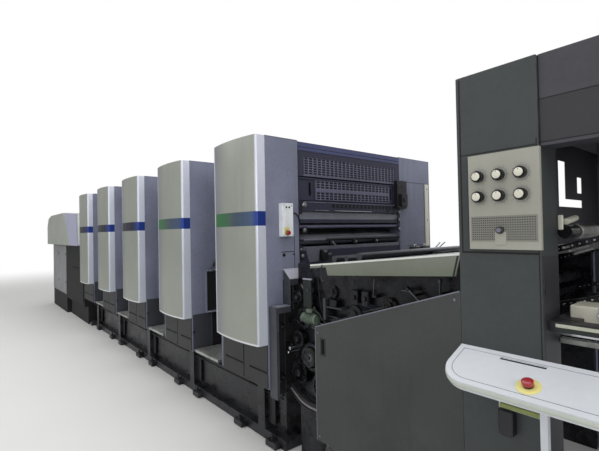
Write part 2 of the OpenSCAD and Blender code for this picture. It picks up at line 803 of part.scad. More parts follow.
module pendant_stop_button() placed() color("red") {
    lift = stop_travel + 5;
    translate([pendant_t - 12, pendant_stop[0], pendant_stop[1]]) rotate([0, 90, 0])
        cylinder(r = 5, h = 12 + lift + 1);
    translate([pendant_t + lift, pendant_stop[0], pendant_stop[1]]) rotate([0, 90, 0]) cylinder(r = 15, h = 9);
}

feeder_x1 = feeder_x0 + feeder_frame_l;
hood_x1 = feeder_x1 + 380;
hood_x2 = feeder_x1 + 910;
feed_y0 = feeder_cab_w;
feed_y1 = press_w - feeder_cab_w;

module feeder_cabinets() placed() color(charcoal) {
    seam = 4;
    toe = 60;
    for (y = [0, feed_y1]) {
        span([feeder_x0, y, 0], [feeder_x1, y + feeder_cab_w, feeder_cab_h]);
        span([feeder_x1 + seam, y, feeder_foot_h], [feeder_x2, y + feeder_cab_w, feeder_cab_h]);
        span([feeder_x1 + 100, y + toe, 0], [feeder_x2, y + feeder_cab_w - toe, feeder_foot_h + touch]);
    }
}

// Hood's outline, drawn in X and Z
module hood_outline() {
    polygon([[feeder_x0, feeder_cab_h], [hood_x2, feeder_cab_h], [hood_x1, feeder_h],
        [feeder_x0 + 500, feeder_h],
        [feeder_x0 + 160, feeder_h - 60], [feeder_x0, feeder_h - 240]]);
}

module feeder_hood() placed() color(silver) {
    side_slab(-feeder_bulge, feed_y0) hood_outline();
    side_slab(feed_y1, press_w) hood_outline();
}

module feeder_end_plate() placed() color(pale) {
    plate_y = -feeder_bulge + 10;
    sheet_t = 20;
    gap = 6;
    top_drop = 68;
    side_slab(plate_y, plate_y + sheet_t)
        polygon([[hood_x2 + gap, feeder_cab_h], [feeder_x2, feeder_cab_h],
            [feeder_x2, feeder_h - top_drop], [hood_x1 + gap, feeder_h]]);
    span([hood_x2 + sheet_t, plate_y + sheet_t - touch, feeder_cab_h], [feeder_x2, 60, feeder_cab_h + sheet_t]);
}

module feeder_head() placed() color(graphite) {
    head_z1 = feeder_h - 190;
    head_z0 = head_z1 - feeder_head_h;
    head_l = feeder_frame_l * 0.433;
    head_x = feeder_x0 + feeder_frame_l / 6;
    foot = [feeder_frame_l * 0.187, 110, feeder_head_h * 0.45];
    foot_pitch = (feed_y1 - feed_y0) / 5.63;
    span([head_x, feed_y0, head_z0], [head_x + head_l, feed_y1, head_z1]);
    for (i = [0:3])
        translate([head_x + head_l * 0.26, press_w / 2 + (i - 1.5) * foot_pitch - foot[1] / 2,
                head_z0 - foot[2]])
            cube(foot + [0, 0, touch]);
}

module feeder_pile_board() placed() color(steel) {
    board_t = 60;
    bearer = [80, 70];
    side_gap = feed_y0 + 10;
    board_x = feeder_x0 + feeder_frame_l * 0.08;
    board_l = feeder_frame_l * 0.747;
    span([board_x, side_gap, feeder_pile_z], [board_x + board_l, press_w - side_gap, feeder_pile_z + board_t]);
    for (x = [board_x + 140, board_x + board_l - 220])
        span([x, feed_y0, feeder_pile_z - bearer[1]], [x + bearer[0], feed_y1, feeder_pile_z + touch]);
}

module feed_table() placed() color(steel) {
    table_t = 40;
    in_feeder = 300;
    top_gap = 60;
    end_rise = 160;
    x0 = feeder_x1 - in_feeder;
    x1 = face_x(1) - housing_l;
    z0 = feeder_cab_h - top_gap;
    z1 = impression_z + end_rise;
    side_slab(feed_y0, feed_y1) polygon([[x0, z0], [x0, z0 - table_t], [x1, z1 - table_t], [x1, z1]]);
}

machine_bed();
lower_panels();
gallery_treads();
for (k = unit_ids) {
    unit_housings(k);
    front_cover(k);
    unit_guards(k);
    unit_rollers(k);
}
plate_cylinder();
blanket_cylinder();
swing_guard();
step_casing();
guard_bracket();
gear_train();
delivery_frames();
delivery_os_panel();
delivery_ds_housing();
delivery_ties();
gripper_chains();
platform_cover();
platform_rig();
delivery_os_tower();
delivery_ds_tower();
delivery_header();
delivery_end_posts();
pile_lift();
sheet_brake();
knob_panel();
for (r = [1:2], c = [1:3])
    knob(r, c);
control_desk();
desk_stop_button();
pendant_panel();
pendant_stop_button();
feeder_cabinets();
feeder_hood();
feeder_end_plate();
feeder_head();
feeder_pile_board();
feed_table();
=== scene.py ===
"""Looks of a five-unit sheet-fed offset printing press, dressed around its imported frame.

Sizes are in millimetres, and in metres in shaders and the studio. Places are measured from the
last unit's corner: x from its delivery face along the line, y from the operator side face, z from the floor.
`CORNER` moves them into the frame's own axes.
"""

import logging
import math
from dataclasses import dataclass
from enum import Enum
from functools import cache
from itertools import product
from typing import Any, Callable, Iterable, Sequence

import bmesh
import bpy
from mathutils import Matrix, Vector


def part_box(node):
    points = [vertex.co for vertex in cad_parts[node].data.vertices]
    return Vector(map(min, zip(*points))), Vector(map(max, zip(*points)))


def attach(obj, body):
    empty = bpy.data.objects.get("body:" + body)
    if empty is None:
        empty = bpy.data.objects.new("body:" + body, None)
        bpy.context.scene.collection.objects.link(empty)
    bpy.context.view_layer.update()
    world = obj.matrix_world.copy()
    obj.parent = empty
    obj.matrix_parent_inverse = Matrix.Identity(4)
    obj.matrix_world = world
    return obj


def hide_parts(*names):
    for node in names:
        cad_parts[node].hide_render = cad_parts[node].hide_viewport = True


log = logging.getLogger("press")
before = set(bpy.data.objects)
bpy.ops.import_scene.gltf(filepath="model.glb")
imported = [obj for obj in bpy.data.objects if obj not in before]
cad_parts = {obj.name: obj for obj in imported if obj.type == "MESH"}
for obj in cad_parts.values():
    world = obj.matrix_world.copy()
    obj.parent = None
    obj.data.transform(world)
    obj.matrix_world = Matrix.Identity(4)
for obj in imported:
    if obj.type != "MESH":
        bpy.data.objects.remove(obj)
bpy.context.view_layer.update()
MM = 1000.0  # millimetres in a metre
UNITS = (1, 2, 3, 4, 5)
LAST = 5
CORNER = Vector((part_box(f"unit_{LAST}_guards")[1].x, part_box(f"unit_{LAST}_housings")[0].y, 0.0))
AHEAD, BACK, FRONT, REAR, UP, DOWN = (1, 0, 0), (-1, 0, 0), (0, -1, 0), (0, 1, 0), (0, 0, 1), (0, 0, -1)

Point = tuple[float, float, float]
Colour = tuple[int, int, int]
Outline = Sequence[tuple[float, float]]
Socket = bpy.types.NodeSocket
Sockets = Sequence[Socket]


class Axis(Enum):
    """Direction that a slab's thickness or a metal's lines run in."""

    X = 0
    Y = 1
    Z = 2


@dataclass(frozen=True)
class Span:
    """Box of a CAD node, measured from the corner of the last unit."""

    x0: float
    x1: float
    y0: float
    y1: float
    z0: float
    z1: float

    @classmethod
    def of(cls, node: str) -> "Span":
        """Reads the box of a CAD node from the frame."""
        low, high = ((corner - CORNER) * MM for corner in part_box(node))
        return cls(low.x, high.x, low.y, high.y, low.z, high.z)


def linear(colour: Colour, gain: float = 1.0) -> tuple[float, ...]:
    """Linear colour of a shader socket, for a colour written from 0 to 255 and a factor on it."""
    shares = (value / 255.0 for value in colour)
    return (*(gain * (s / 12.92 if s <= 0.04045 else ((s + 0.055) / 1.055) ** 2.4) for s in shares), 1.0)


def spread(start: float, end: float, pitch: float) -> list[float]:
    """Even places from start to end, both included, close to a pitch apart."""
    count = max(1, round((end - start) / pitch))
    return [start + (end - start) * i / count for i in range(count + 1)]


def around(x: float, y: float, radius: float, count: int, start: float = 0.0) -> list[tuple[float, float]]:
    """Even places on a circle, from an angle on."""
    angles = (start + math.tau * i / count for i in range(count))
    return [(x + radius * math.cos(angle), y + radius * math.sin(angle)) for angle in angles]


class Tree:
    """Adds and links the nodes of one shader tree."""

    def __init__(self, tree: bpy.types.NodeTree) -> None:
        """Starts on an emptied tree."""
        self.tree = tree
        self.tree.nodes.clear()

    def node(self, kind: str, inputs: dict[Any, Any] | None = None, **settings: Any) -> bpy.types.Node:
        """Adds one node.

        Args:
            kind: Blender's name of the node type.
            inputs: values or sockets, by input name or index.
            settings: properties of the node.

        Returns:
            The new node.
        """
        made = self.tree.nodes.new(kind)
        for name, value in settings.items():
            setattr(made, name, value)
        for key, value in (inputs or {}).items():
            self.feed(made.inputs[key], value)
        return made

    def feed(self, socket: Socket, value: Any) -> None:
        """Links a socket, or sets its value.

        Args:
            socket: input that is fed.
            value: output socket, number, vector or colour.
        """
        if isinstance(value, Socket):
            self.tree.links.new(value, socket)
        else:
            socket.default_value = value

    def math(self, operation: str, *values: Any, clamp: bool = False) -> Socket:
        """Result of a Math node."""
        return self.node("ShaderNodeMath", dict(enumerate(values)), operation=operation, use_clamp=clamp).outputs[0]

    def less(self, value: Any) -> Socket:
        """One less a number."""
        return self.math("SUBTRACT", 1.0, value)

    def mix(self, share: Any, first: Any, second: Any) -> Socket:
        """Colour between two others, by the share of the second."""
        return self.node("ShaderNodeMix", {0: share, 6: first, 7: second}, data_type="RGBA").outputs[2]

    def blend(self, share: Any, first: Any, second: Any) -> Socket:
        """Number between two others, by the share of the second."""
        return self.node("ShaderNodeMix", {0: share, 2: first, 3: second}, data_type="FLOAT").outputs[0]

    def ramp(self, value: Any, low: Any, high: Any) -> Socket:
        """Smooth step of a number, from 0 at low to 1 at high."""
        return self.node("ShaderNodeMapRange", {0: value, 1: low, 2: high}, interpolation_type="SMOOTHSTEP").outputs[0]

    def noise(self, vector: Any, scale: Any, detail: float = 2.0, rough: float = 0.5) -> Socket:
        """Noise from 0 to 1, with this many features in a metre and this many finer layers."""
        inputs = {"Vector": vector, "Scale": scale, "Detail": detail, "Roughness": rough}
        return self.node("ShaderNodeTexNoise", inputs).outputs[0]

    def place(self) -> Socket:
        """Coordinates on the piece itself, in metres."""
        return self.node("ShaderNodeTexCoord").outputs["Object"]

    def facing(self, axis: Axis) -> Socket:
        """Part of the surface's normal along an axis."""
        return self.split(self.node("ShaderNodeNewGeometry").outputs["Normal"])[axis.value]

    def split(self, vector: Any) -> Sockets:
        """The three parts of a vector."""
        return tuple(self.node("ShaderNodeSeparateXYZ", {0: vector}).outputs)

    def stretch(self, vector: Any, scale: Any) -> Socket:
        """A vector times another, part by part."""
        return self.node("ShaderNodeVectorMath", {0: vector, 1: scale}, operation="MULTIPLY").outputs[0]

    def surface(self, colour: Any, rough: Any, bump: tuple[float, float, Any], more: dict[str, float]) -> None:
        """Closes a material with a bumped Principled BSDF.

        Args:
            colour: base colour.
            rough: roughness.
            bump: strength, distance and height of the bump.
            more: other inputs of the shader.
        """
        normal = self.node("ShaderNodeBump", dict(zip(("Strength", "Distance", "Height"), bump))).outputs[0]
        inputs = {"Base Color": colour, "Roughness": rough, "Normal": normal, **more}
        self.close(self.node("ShaderNodeBsdfPrincipled", inputs))

    def close(self, shader: bpy.types.Node) -> None:
        """Links the final shader to the material's output."""
        self.node("ShaderNodeOutputMaterial", {"Surface": shader.outputs[0]})


@dataclass(frozen=True)
class Effect:
    """A surface effect that several finishes share, kept as one shader node group."""

    name: str
    inputs: dict[str, float | Point]
    outputs: tuple[str, ...]
    draw: Callable[[Tree, dict[str, Socket]], Sockets]

    def group(self) -> bpy.types.NodeTree:
        """Builds the node group with its named sockets.

        Returns:
            The group's tree.
        """
        tree = bpy.data.node_groups.new(self.name, "ShaderNodeTree")
        for name, value in self.inputs.items():
            kind = "NodeSocketFloat" if isinstance(value, float) else "NodeSocketVector"
            tree.interface.new_socket(name, in_out="INPUT", socket_type=kind).default_value = value
        for name in self.outputs:
            tree.interface.new_socket(name, in_out="OUTPUT", socket_type="NodeSocketFloat")
        inner = Tree(tree)
        entry = inner.node("NodeGroupInput").outputs
        result = self.draw(inner, {name: entry[name] for name in self.inputs})
        inner.node("NodeGroupOutput", dict(enumerate(result)))
        return tree

    def put(self, tree: Tree, **values: Any) -> Sockets:
        """Places the effect in a material with the given inputs, and gives its outputs."""
        group = bpy.data.node_groups.get(self.name) or self.group()
        return tree.node("ShaderNodeGroup", values, node_tree=group).outputs


def draw_texture(tree: Tree, given: dict[str, Socket]) -> Sockets:
    """Fine pebbles of sprayed paint, and the slow change of tone under them.

    Args:
        tree: tree of the group.
        given: its input Scale.

    Returns:
        Height of the pebbles and tone, both around one half.
    """
    place = tree.place()
    clouds = tree.math("MULTIPLY", tree.noise(place, 2.3, 4.0, 0.55), 0.7)
    specks = tree.math("MULTIPLY", tree.noise(place, 46.0, 3.0, 0.6), 0.3)
    return tree.noise(place, given["Scale"], 2.0, 0.6), tree.math("ADD", clouds, specks)


def draw_wear(tree: Tree, given: dict[str, Socket]) -> Sockets:
    """Mask of the rubbed edges, from the difference of the rounded and the true normal.

    Args:
        tree: tree of the group.
        given: its inputs Radius and Amount.

    Returns:
        The mask.
    """
    rounded = tree.node("ShaderNodeBevel", {"Radius": given["Radius"]}, samples=4).outputs[0]
    true = tree.node("ShaderNodeNewGeometry").outputs["Normal"]
    same = tree.node("ShaderNodeVectorMath", {0: rounded, 1: true}, operation="DOT_PRODUCT").outputs["Value"]
    rubs = tree.ramp(tree.noise(tree.place(), 17.0, 5.0, 0.65), 0.42, 0.62)
    mask = tree.math("MULTIPLY", tree.ramp(tree.less(same), 0.02, 0.22), rubs)
    return (tree.math("MULTIPLY", mask, given["Amount"], clamp=True),)


def draw_grime_with_shade(tree: Tree, given: dict[str, Socket]) -> Sockets:
    """Mask of grease and dust, and of painted shade: thicker towards the floor, with runs and blotches.

    Args:
        tree: tree of the group.
        given: its inputs Height and Amount.

    Returns:
        The mask.
    """
    place = tree.place()
    # painted shade: darker towards the floor, up to Height
    low = tree.less(tree.ramp(tree.split(place)[2], 0.0, given["Height"]))
    runs = tree.ramp(tree.noise(tree.stretch(place, (16.0, 16.0, 0.9)), 1.0, 4.0, 0.6), 0.5, 0.75)
    blots = tree.ramp(tree.noise(place, 3.1, 6.0, 0.6), 0.46, 0.72)
    spread = tree.math("ADD", tree.math("MULTIPLY", low, 0.75), tree.math("MULTIPLY", runs, 0.3))
    mask = tree.math("MULTIPLY", spread, tree.math("ADD", 0.35, blots))
    return (tree.math("MULTIPLY", mask, given["Amount"], clamp=True),)


def draw_brushed(tree: Tree, given: dict[str, Socket]) -> Sockets:
    """Height of the fine turning and grinding lines of bare metal, and its stains."""
    place = tree.place()
    return (tree.noise(tree.stretch(place, given["Along"]), 1.0, 3.0, 0.7),
            tree.ramp(tree.noise(place, 8.0, 5.0, 0.6), 0.4, 0.7))


TEXTURE = Effect("sprayed_texture", {"Scale": 900.0}, ("Height", "Tone"), draw_texture)
WEAR = Effect("rubbed_edges", {"Radius": 0.004, "Amount": 1.0}, ("Mask",), draw_wear)
GRIME_WITH_SHADE = Effect("shop_grime_and_floor_shade", {"Height": 1.0, "Amount": 1.0}, ("Mask",), draw_grime_with_shade)
BRUSHED = Effect("brushed_lines", {"Along": (1.0, 1.0, 1.0)}, ("Height", "Tone"), draw_brushed)


@dataclass(frozen=True)
class Finish:
    """A named look; each kind draws its own shader."""

    name: str
    colour: Colour
    roughness: float = 0.5

    def material(self) -> bpy.types.Material:
        """Builds the material.

        Returns:
            The material.
        """
        material = bpy.data.materials.new(self.name)
        material.use_nodes = True
        self.draw(Tree(material.node_tree))
        return material


@dataclass(frozen=True)
class Paint(Finish):
    """Sprayed paint on sheet metal, with rubbed edges, and shop grime with painted shade towards the floor."""

    texture: float = 0.12
    wear: float = 0.5
    grime_and_shade: float = 0.5
    tone: float = 0.10
    metallic: float = 0.0
    worn: Colour = (150, 150, 150)
    grime_and_shade_height: float = 1.0
    dirt_and_shade: Colour = (38, 36, 34)

    def draw(self, tree: Tree) -> None:
        """Draws the plain paint."""
        self.shade(tree, linear(self.colour))

    def shade(self, tree: Tree, base: Any) -> None:
        """Lays texture, grime with painted shade, and wear over a base colour and closes the material.

        Args:
            tree: tree of the material.
            base: colour or socket of the clean paint.
        """
        height, tone = TEXTURE.put(tree)
        darker = tree.node("ShaderNodeHueSaturation", {"Value": 1.0 - 2.2 * self.tone, "Color": base}).outputs[0]
        colour = tree.mix(tree.ramp(tone, 0.35, 0.65), darker, base)
        grime_and_shade = GRIME_WITH_SHADE.put(tree, Height=self.grime_and_shade_height, Amount=self.grime_and_shade)[0]
        colour = tree.mix(grime_and_shade, colour, linear(self.dirt_and_shade))
        rough = tree.blend(grime_and_shade, self.roughness, min(1.0, self.roughness + 0.25))
        if self.wear > 0:
            wear = WEAR.put(tree, Amount=self.wear)[0]
            colour = tree.mix(wear, colour, linear(self.worn))
            rough = tree.blend(wear, rough, 0.35)
        tree.surface(colour, rough, (self.texture, 0.001, height), {"Metallic": self.metallic})


@dataclass(frozen=True)
class CoverPaint(Paint):
    """Metallic cover paint with a printed band of colour around the cover, and painted light and shade on it."""

    low: float = 1.556
    high: float = 1.654
    start: float = 0.0
    length: float = 0.64
    stops: tuple[tuple[float, Colour], ...] = ()
    foot: float = 0.758
    painted_shade: Colour = (134, 134, 142)
    end_highlight_and_foot_band: Colour = (225, 228, 232)
    painted_side_light_low: Colour = (216, 222, 234)
    painted_side_light_high: Colour = (226, 229, 243)

    def draw(self, tree: Tree) -> None:
        """Draws front with painted shade, sides with painted light, the lit end's painted highlight, foot and band.

        Args:
            tree: tree of the material.
        """
        x, _, z = tree.split(tree.place())
        share = tree.math("DIVIDE", tree.math("SUBTRACT", x, self.start), self.length, clamp=True)
        band = tree.node("ShaderNodeValToRGB", {0: share})
        elements = band.color_ramp.elements
        while len(elements) < len(self.stops):
            elements.new(0.5)
        for element, (at, _) in zip(elements, self.stops):
            element.position = at
        for element, (_, colour) in zip(elements, self.stops):
            element.color = linear(colour)
        soft = 0.0008
        below = tree.less(tree.ramp(z, self.high - soft, self.high + soft))
        printed = tree.math("MULTIPLY", tree.ramp(z, self.low - soft, self.low + soft), below)
        # painted shade: the front darkens towards the cover's feeder end
        front = tree.mix(tree.less(tree.ramp(share, 0.05, 0.42)), linear(self.colour), linear(self.painted_shade))
        # painted highlight along the lit feeder end of the front; the same light colour also fills a band along the
        # foot
        for lit in (tree.ramp(share, 0.04, 0.06), tree.ramp(z, self.foot, self.foot + 0.012)):
            front = tree.mix(tree.less(lit), front, linear(self.end_highlight_and_foot_band))
        # painted light: faces turned to the delivery end take a lighter lilac colour, lighter still higher up
        sides = tree.mix(tree.ramp(z, 0.8, 2.1), linear(self.painted_side_light_low), linear(self.painted_side_light_high))
        cover = tree.mix(tree.ramp(tree.facing(Axis.X), 0.35, 0.85), front, sides)
        self.shade(tree, tree.mix(printed, cover, band.outputs[0]))


@dataclass(frozen=True)
class Iron(Finish):
    """Cast or black steel under oil and ink."""

    metallic: float = 0.35
    oil: Colour = (14, 14, 16)

    def draw(self, tree: Tree) -> None:
        """Draws the oily iron with its dust and rubbed edges.

        Args:
            tree: tree of the material.
        """
        place = tree.place()
        wet = tree.ramp(tree.noise(place, 9.0, 6.0, 0.65), 0.38, 0.66)
        dust = tree.ramp(tree.noise(place, 30.0, 4.0, 0.7), 0.5, 0.8)
        colour = tree.mix(wet, linear(self.colour), linear(self.oil))
        colour = tree.mix(tree.math("MULTIPLY", dust, 0.35), colour, linear((96, 92, 88)))
        colour = tree.mix(WEAR.put(tree, Amount=0.8, Radius=0.003)[0], colour, linear((140, 140, 144)))
        bump = (0.35, 0.002, tree.noise(place, 160.0, 4.0, 0.6))
        tree.surface(colour, tree.blend(wet, self.roughness, 0.18), bump, {"Metallic": self.metallic})


@dataclass(frozen=True)
class Metal(Finish):
    """Bare metal with turning or grinding lines."""

    stained: float = 0.35
    along: Axis = Axis.Y

    def draw(self, tree: Tree) -> None:
        """Draws the lines and stains of the metal.

        Args:
            tree: tree of the material.
        """
        scale = [700.0] * 3
        scale[self.along.value] = 6.0
        lines, stains = BRUSHED.put(tree, Along=tuple(scale))
        colour = tree.mix(tree.math("MULTIPLY", stains, self.stained), linear(self.colour), linear((70, 66, 62)))
        rough = tree.blend(lines, self.roughness * 0.75, self.roughness * 1.25)
        tree.surface(colour, rough, (0.15, 0.0006, lines), {"Metallic": 0.9})


@dataclass(frozen=True)
class Moulded(Finish):
    """Rubber or moulded plastic."""

    coat: float = 0.0

    def draw(self, tree: Tree) -> None:
        """Draws the smears and grain of the moulded piece.

        Args:
            tree: tree of the material.
        """
        place = tree.place()
        smear = tree.ramp(tree.noise(place, 14.0, 5.0, 0.6), 0.4, 0.7)
        colour = tree.mix(tree.math("MULTIPLY", smear, 0.3), linear(self.colour), linear(self.colour, 0.6))
        rough = tree.blend(smear, self.roughness, min(1.0, self.roughness + 0.18))
        bump = (0.08, 0.0004, tree.noise(place, 1200.0, 2.0, 0.5))
        tree.surface(colour, rough, bump, {"Coat Weight": self.coat, "Coat Roughness": 0.1})


# Paint: name, colour, roughness, texture, wear, grime and painted shade, tone. Iron: metallic, oil. Metal: stains.
# Moulded: coat.
FINISHES: tuple[Finish, ...] = (
    # housing paint: grime with painted shade that darkens the lower faces
    Paint("housing_paint", (130, 134, 155), 0.55, 0.25, 0.35, 0.75, grime_and_shade_height=1.2, dirt_and_shade=(40, 44, 50)),
    Paint("panel_paint", (35, 37, 37), 0.5, 0.25, 0.5, 0.6, worn=(130, 132, 130)),
    Paint("tower_paint", (60, 65, 66), 0.55, 0.3, 0.3, 0.3),
    Paint("header_paint", (64, 64, 72), 0.5, 0.3, 0.3, 0.1),
    Paint("guard_paint", (50, 51, 72), 0.5, 0.2, 0.5, 0.2, worn=(120, 120, 135)),
    Paint("guard_rib_paint", (108, 108, 132), 0.45, 0.1, 0.0, 0.1),
    Paint("rail_paint", (78, 84, 126), 0.35, 0.1, 0.3, 0.1),
    Paint("black_sheet", (27, 27, 33), 0.45, 0.2, 0.5, 0.3, worn=(90, 90, 95)),
    Paint("duct_grey", (138, 141, 152), 0.4, 0.1, 0.5, 0.2),
    Paint("olive_ring", (92, 96, 62), 0.6, 0.1, 0.0, 0.3),
    Paint("side_panel_paint", (58, 62, 60), 0.5, 0.25, 0.4, 0.85, 0.1, 0.0, (130, 132, 130), 1.15, (36, 40, 40)),
    Paint("casing_paint", (62, 65, 71), 0.5, 0.2, 0.3, 0.3),
    Paint("return_lilac", (46, 46, 52), 0.5, 0.15, 0.1, 0.2),
    Paint("casing_lid", (190, 190, 205), 0.35, 0.08, 0.5, 0.15, metallic=0.2),
    Paint("cabinet_grey", (152, 154, 159), 0.45, 0.15, 0.2, 0.4),
    Paint("hood_silver", (176, 182, 172), 0.35, 0.05, 0.2, 0.3, 0.05, metallic=0.25),
    Paint("end_plate_paint", (176, 177, 204), 0.4, 0.05, 0.1, 0.1, 0.03),
    Paint("cabinet_dark", (15, 15, 19), 0.7, 0.2, 0.1, 0.2),
    Paint("sheet_grey", (128, 128, 142), 0.35, 0.1, 0.5, 0.2, metallic=0.4),
    Paint("knob_plate_paint", (165, 165, 154), 0.45, 0.1, 0.1, 0.1, 0.04),
    Paint("mesh_plate_paint", (134, 134, 126), 0.5, 0.1, 0.0, 0.0, 0.04),
    Paint("desk_paint", (216, 220, 226), 0.35, 0.06, 0.15, 0.12, 0.03),
    Paint("desk_nose_paint", (200, 207, 197), 0.3, 0.06, 0.1, 0.1, 0.03),
    Paint("hatch_green", (26, 36, 33), 0.5, 0.2, 0.4, worn=(90, 92, 90)),
    # black of seams and joints, also used for dark sheets of painted shade in slots, gaps and inside the casing
    Paint("seam_and_shade_black", (16, 16, 20), 0.7, 0.1, 0.0, 0.0),
    Paint("rail_cream", (200, 203, 184), 0.5, 0.1, 0.2, 0.3),
    Paint("box_white", (228, 225, 208), 0.5, 0.05, 0.1, 0.1, 0.04),
    Iron("bed_iron_oiled", (52, 53, 58), 0.45),
    Iron("gear_iron", (44, 45, 52), 0.38, 0.5),
    Iron("chain_iron", (34, 34, 40), 0.4, 0.5),
    Iron("motor_green", (112, 128, 112), 0.4, 0.1, (44, 56, 46)),
    Metal("ground_steel", (176, 178, 182), 0.28),
    Metal("dull_steel", (92, 94, 100), 0.36),
    Metal("bright_steel", (214, 216, 222), 0.2, 0.15),
    Metal("worn_alloy", (186, 188, 184), 0.42, 0.5, Axis.X),
    Moulded("roller_rubber", (86, 88, 99), 0.45),
    Moulded("blanket_rubber", (60, 78, 104), 0.5),
    Moulded("black_plastic", (20, 20, 21), 0.35, 0.2),
    Moulded("hose_black", (24, 24, 27), 0.5),
    Moulded("hose_grey", (138, 132, 138), 0.5),
    Moulded("stop_red", (160, 32, 44), 0.25, 0.6),
    Moulded("ring_yellow", (230, 220, 140), 0.4),
    Moulded("dial_cream", (226, 224, 208), 0.35, 0.2),
    Moulded("panel_white", (244, 247, 250), 0.35, 0.2),
    Moulded("lug_green", (136, 146, 84), 0.4),
)


@cache
def finish(name: str) -> bpy.types.Material:
    """Material of a named finish, built when it is first used."""
    return next(look for look in FINISHES if look.name == name).material()


def chamfer_faces(signs: Sequence[tuple[int, ...]]) -> list[tuple[int, ...]]:
    """Faces of a box with cut edges, whose points run corner by corner, three to a corner.

    Args:
        signs: the eight corners, in the order of the points.

    Returns:
        Indices of each face's points.
    """
    faces = [(n, n + 1, n + 2) for n in range(0, 24, 3)]
    for kind in range(3):
        turns = (kind, (kind + 1) % 3, (kind + 2) % 3)
        flat = [[(side, b, c, kind) for b, c in ((-1, -1), (1, -1), (1, 1), (-1, 1))] for side in (-1, 1)]
        cuts = [[(end, b, c, owner) for end, owner in ((-1, turns[1]), (1, turns[1]), (1, turns[2]), (-1, turns[2]))]
                for b, c in product((-1, 1), repeat=2)]
        for ring in flat + cuts:
            corners = [(signs.index(tuple(spot[turns.index(i)] for i in range(3))), spot[3]) for spot in ring]
            faces.append(tuple(3 * corner + owner for corner, owner in corners))
    return faces


SIGNS = tuple(product((-1, 1), repeat=3))
CHAMFERED = chamfer_faces(SIGNS)


def add_object(name: str, data: bpy.types.ID) -> bpy.types.Object:
    """Adds an object to the scene.

    Args:
        name: name of the object.
        data: its mesh, light or camera.

    Returns:
        The object.
    """
    added = bpy.data.objects.new(name, data)
    bpy.context.scene.collection.objects.link(added)
    return added


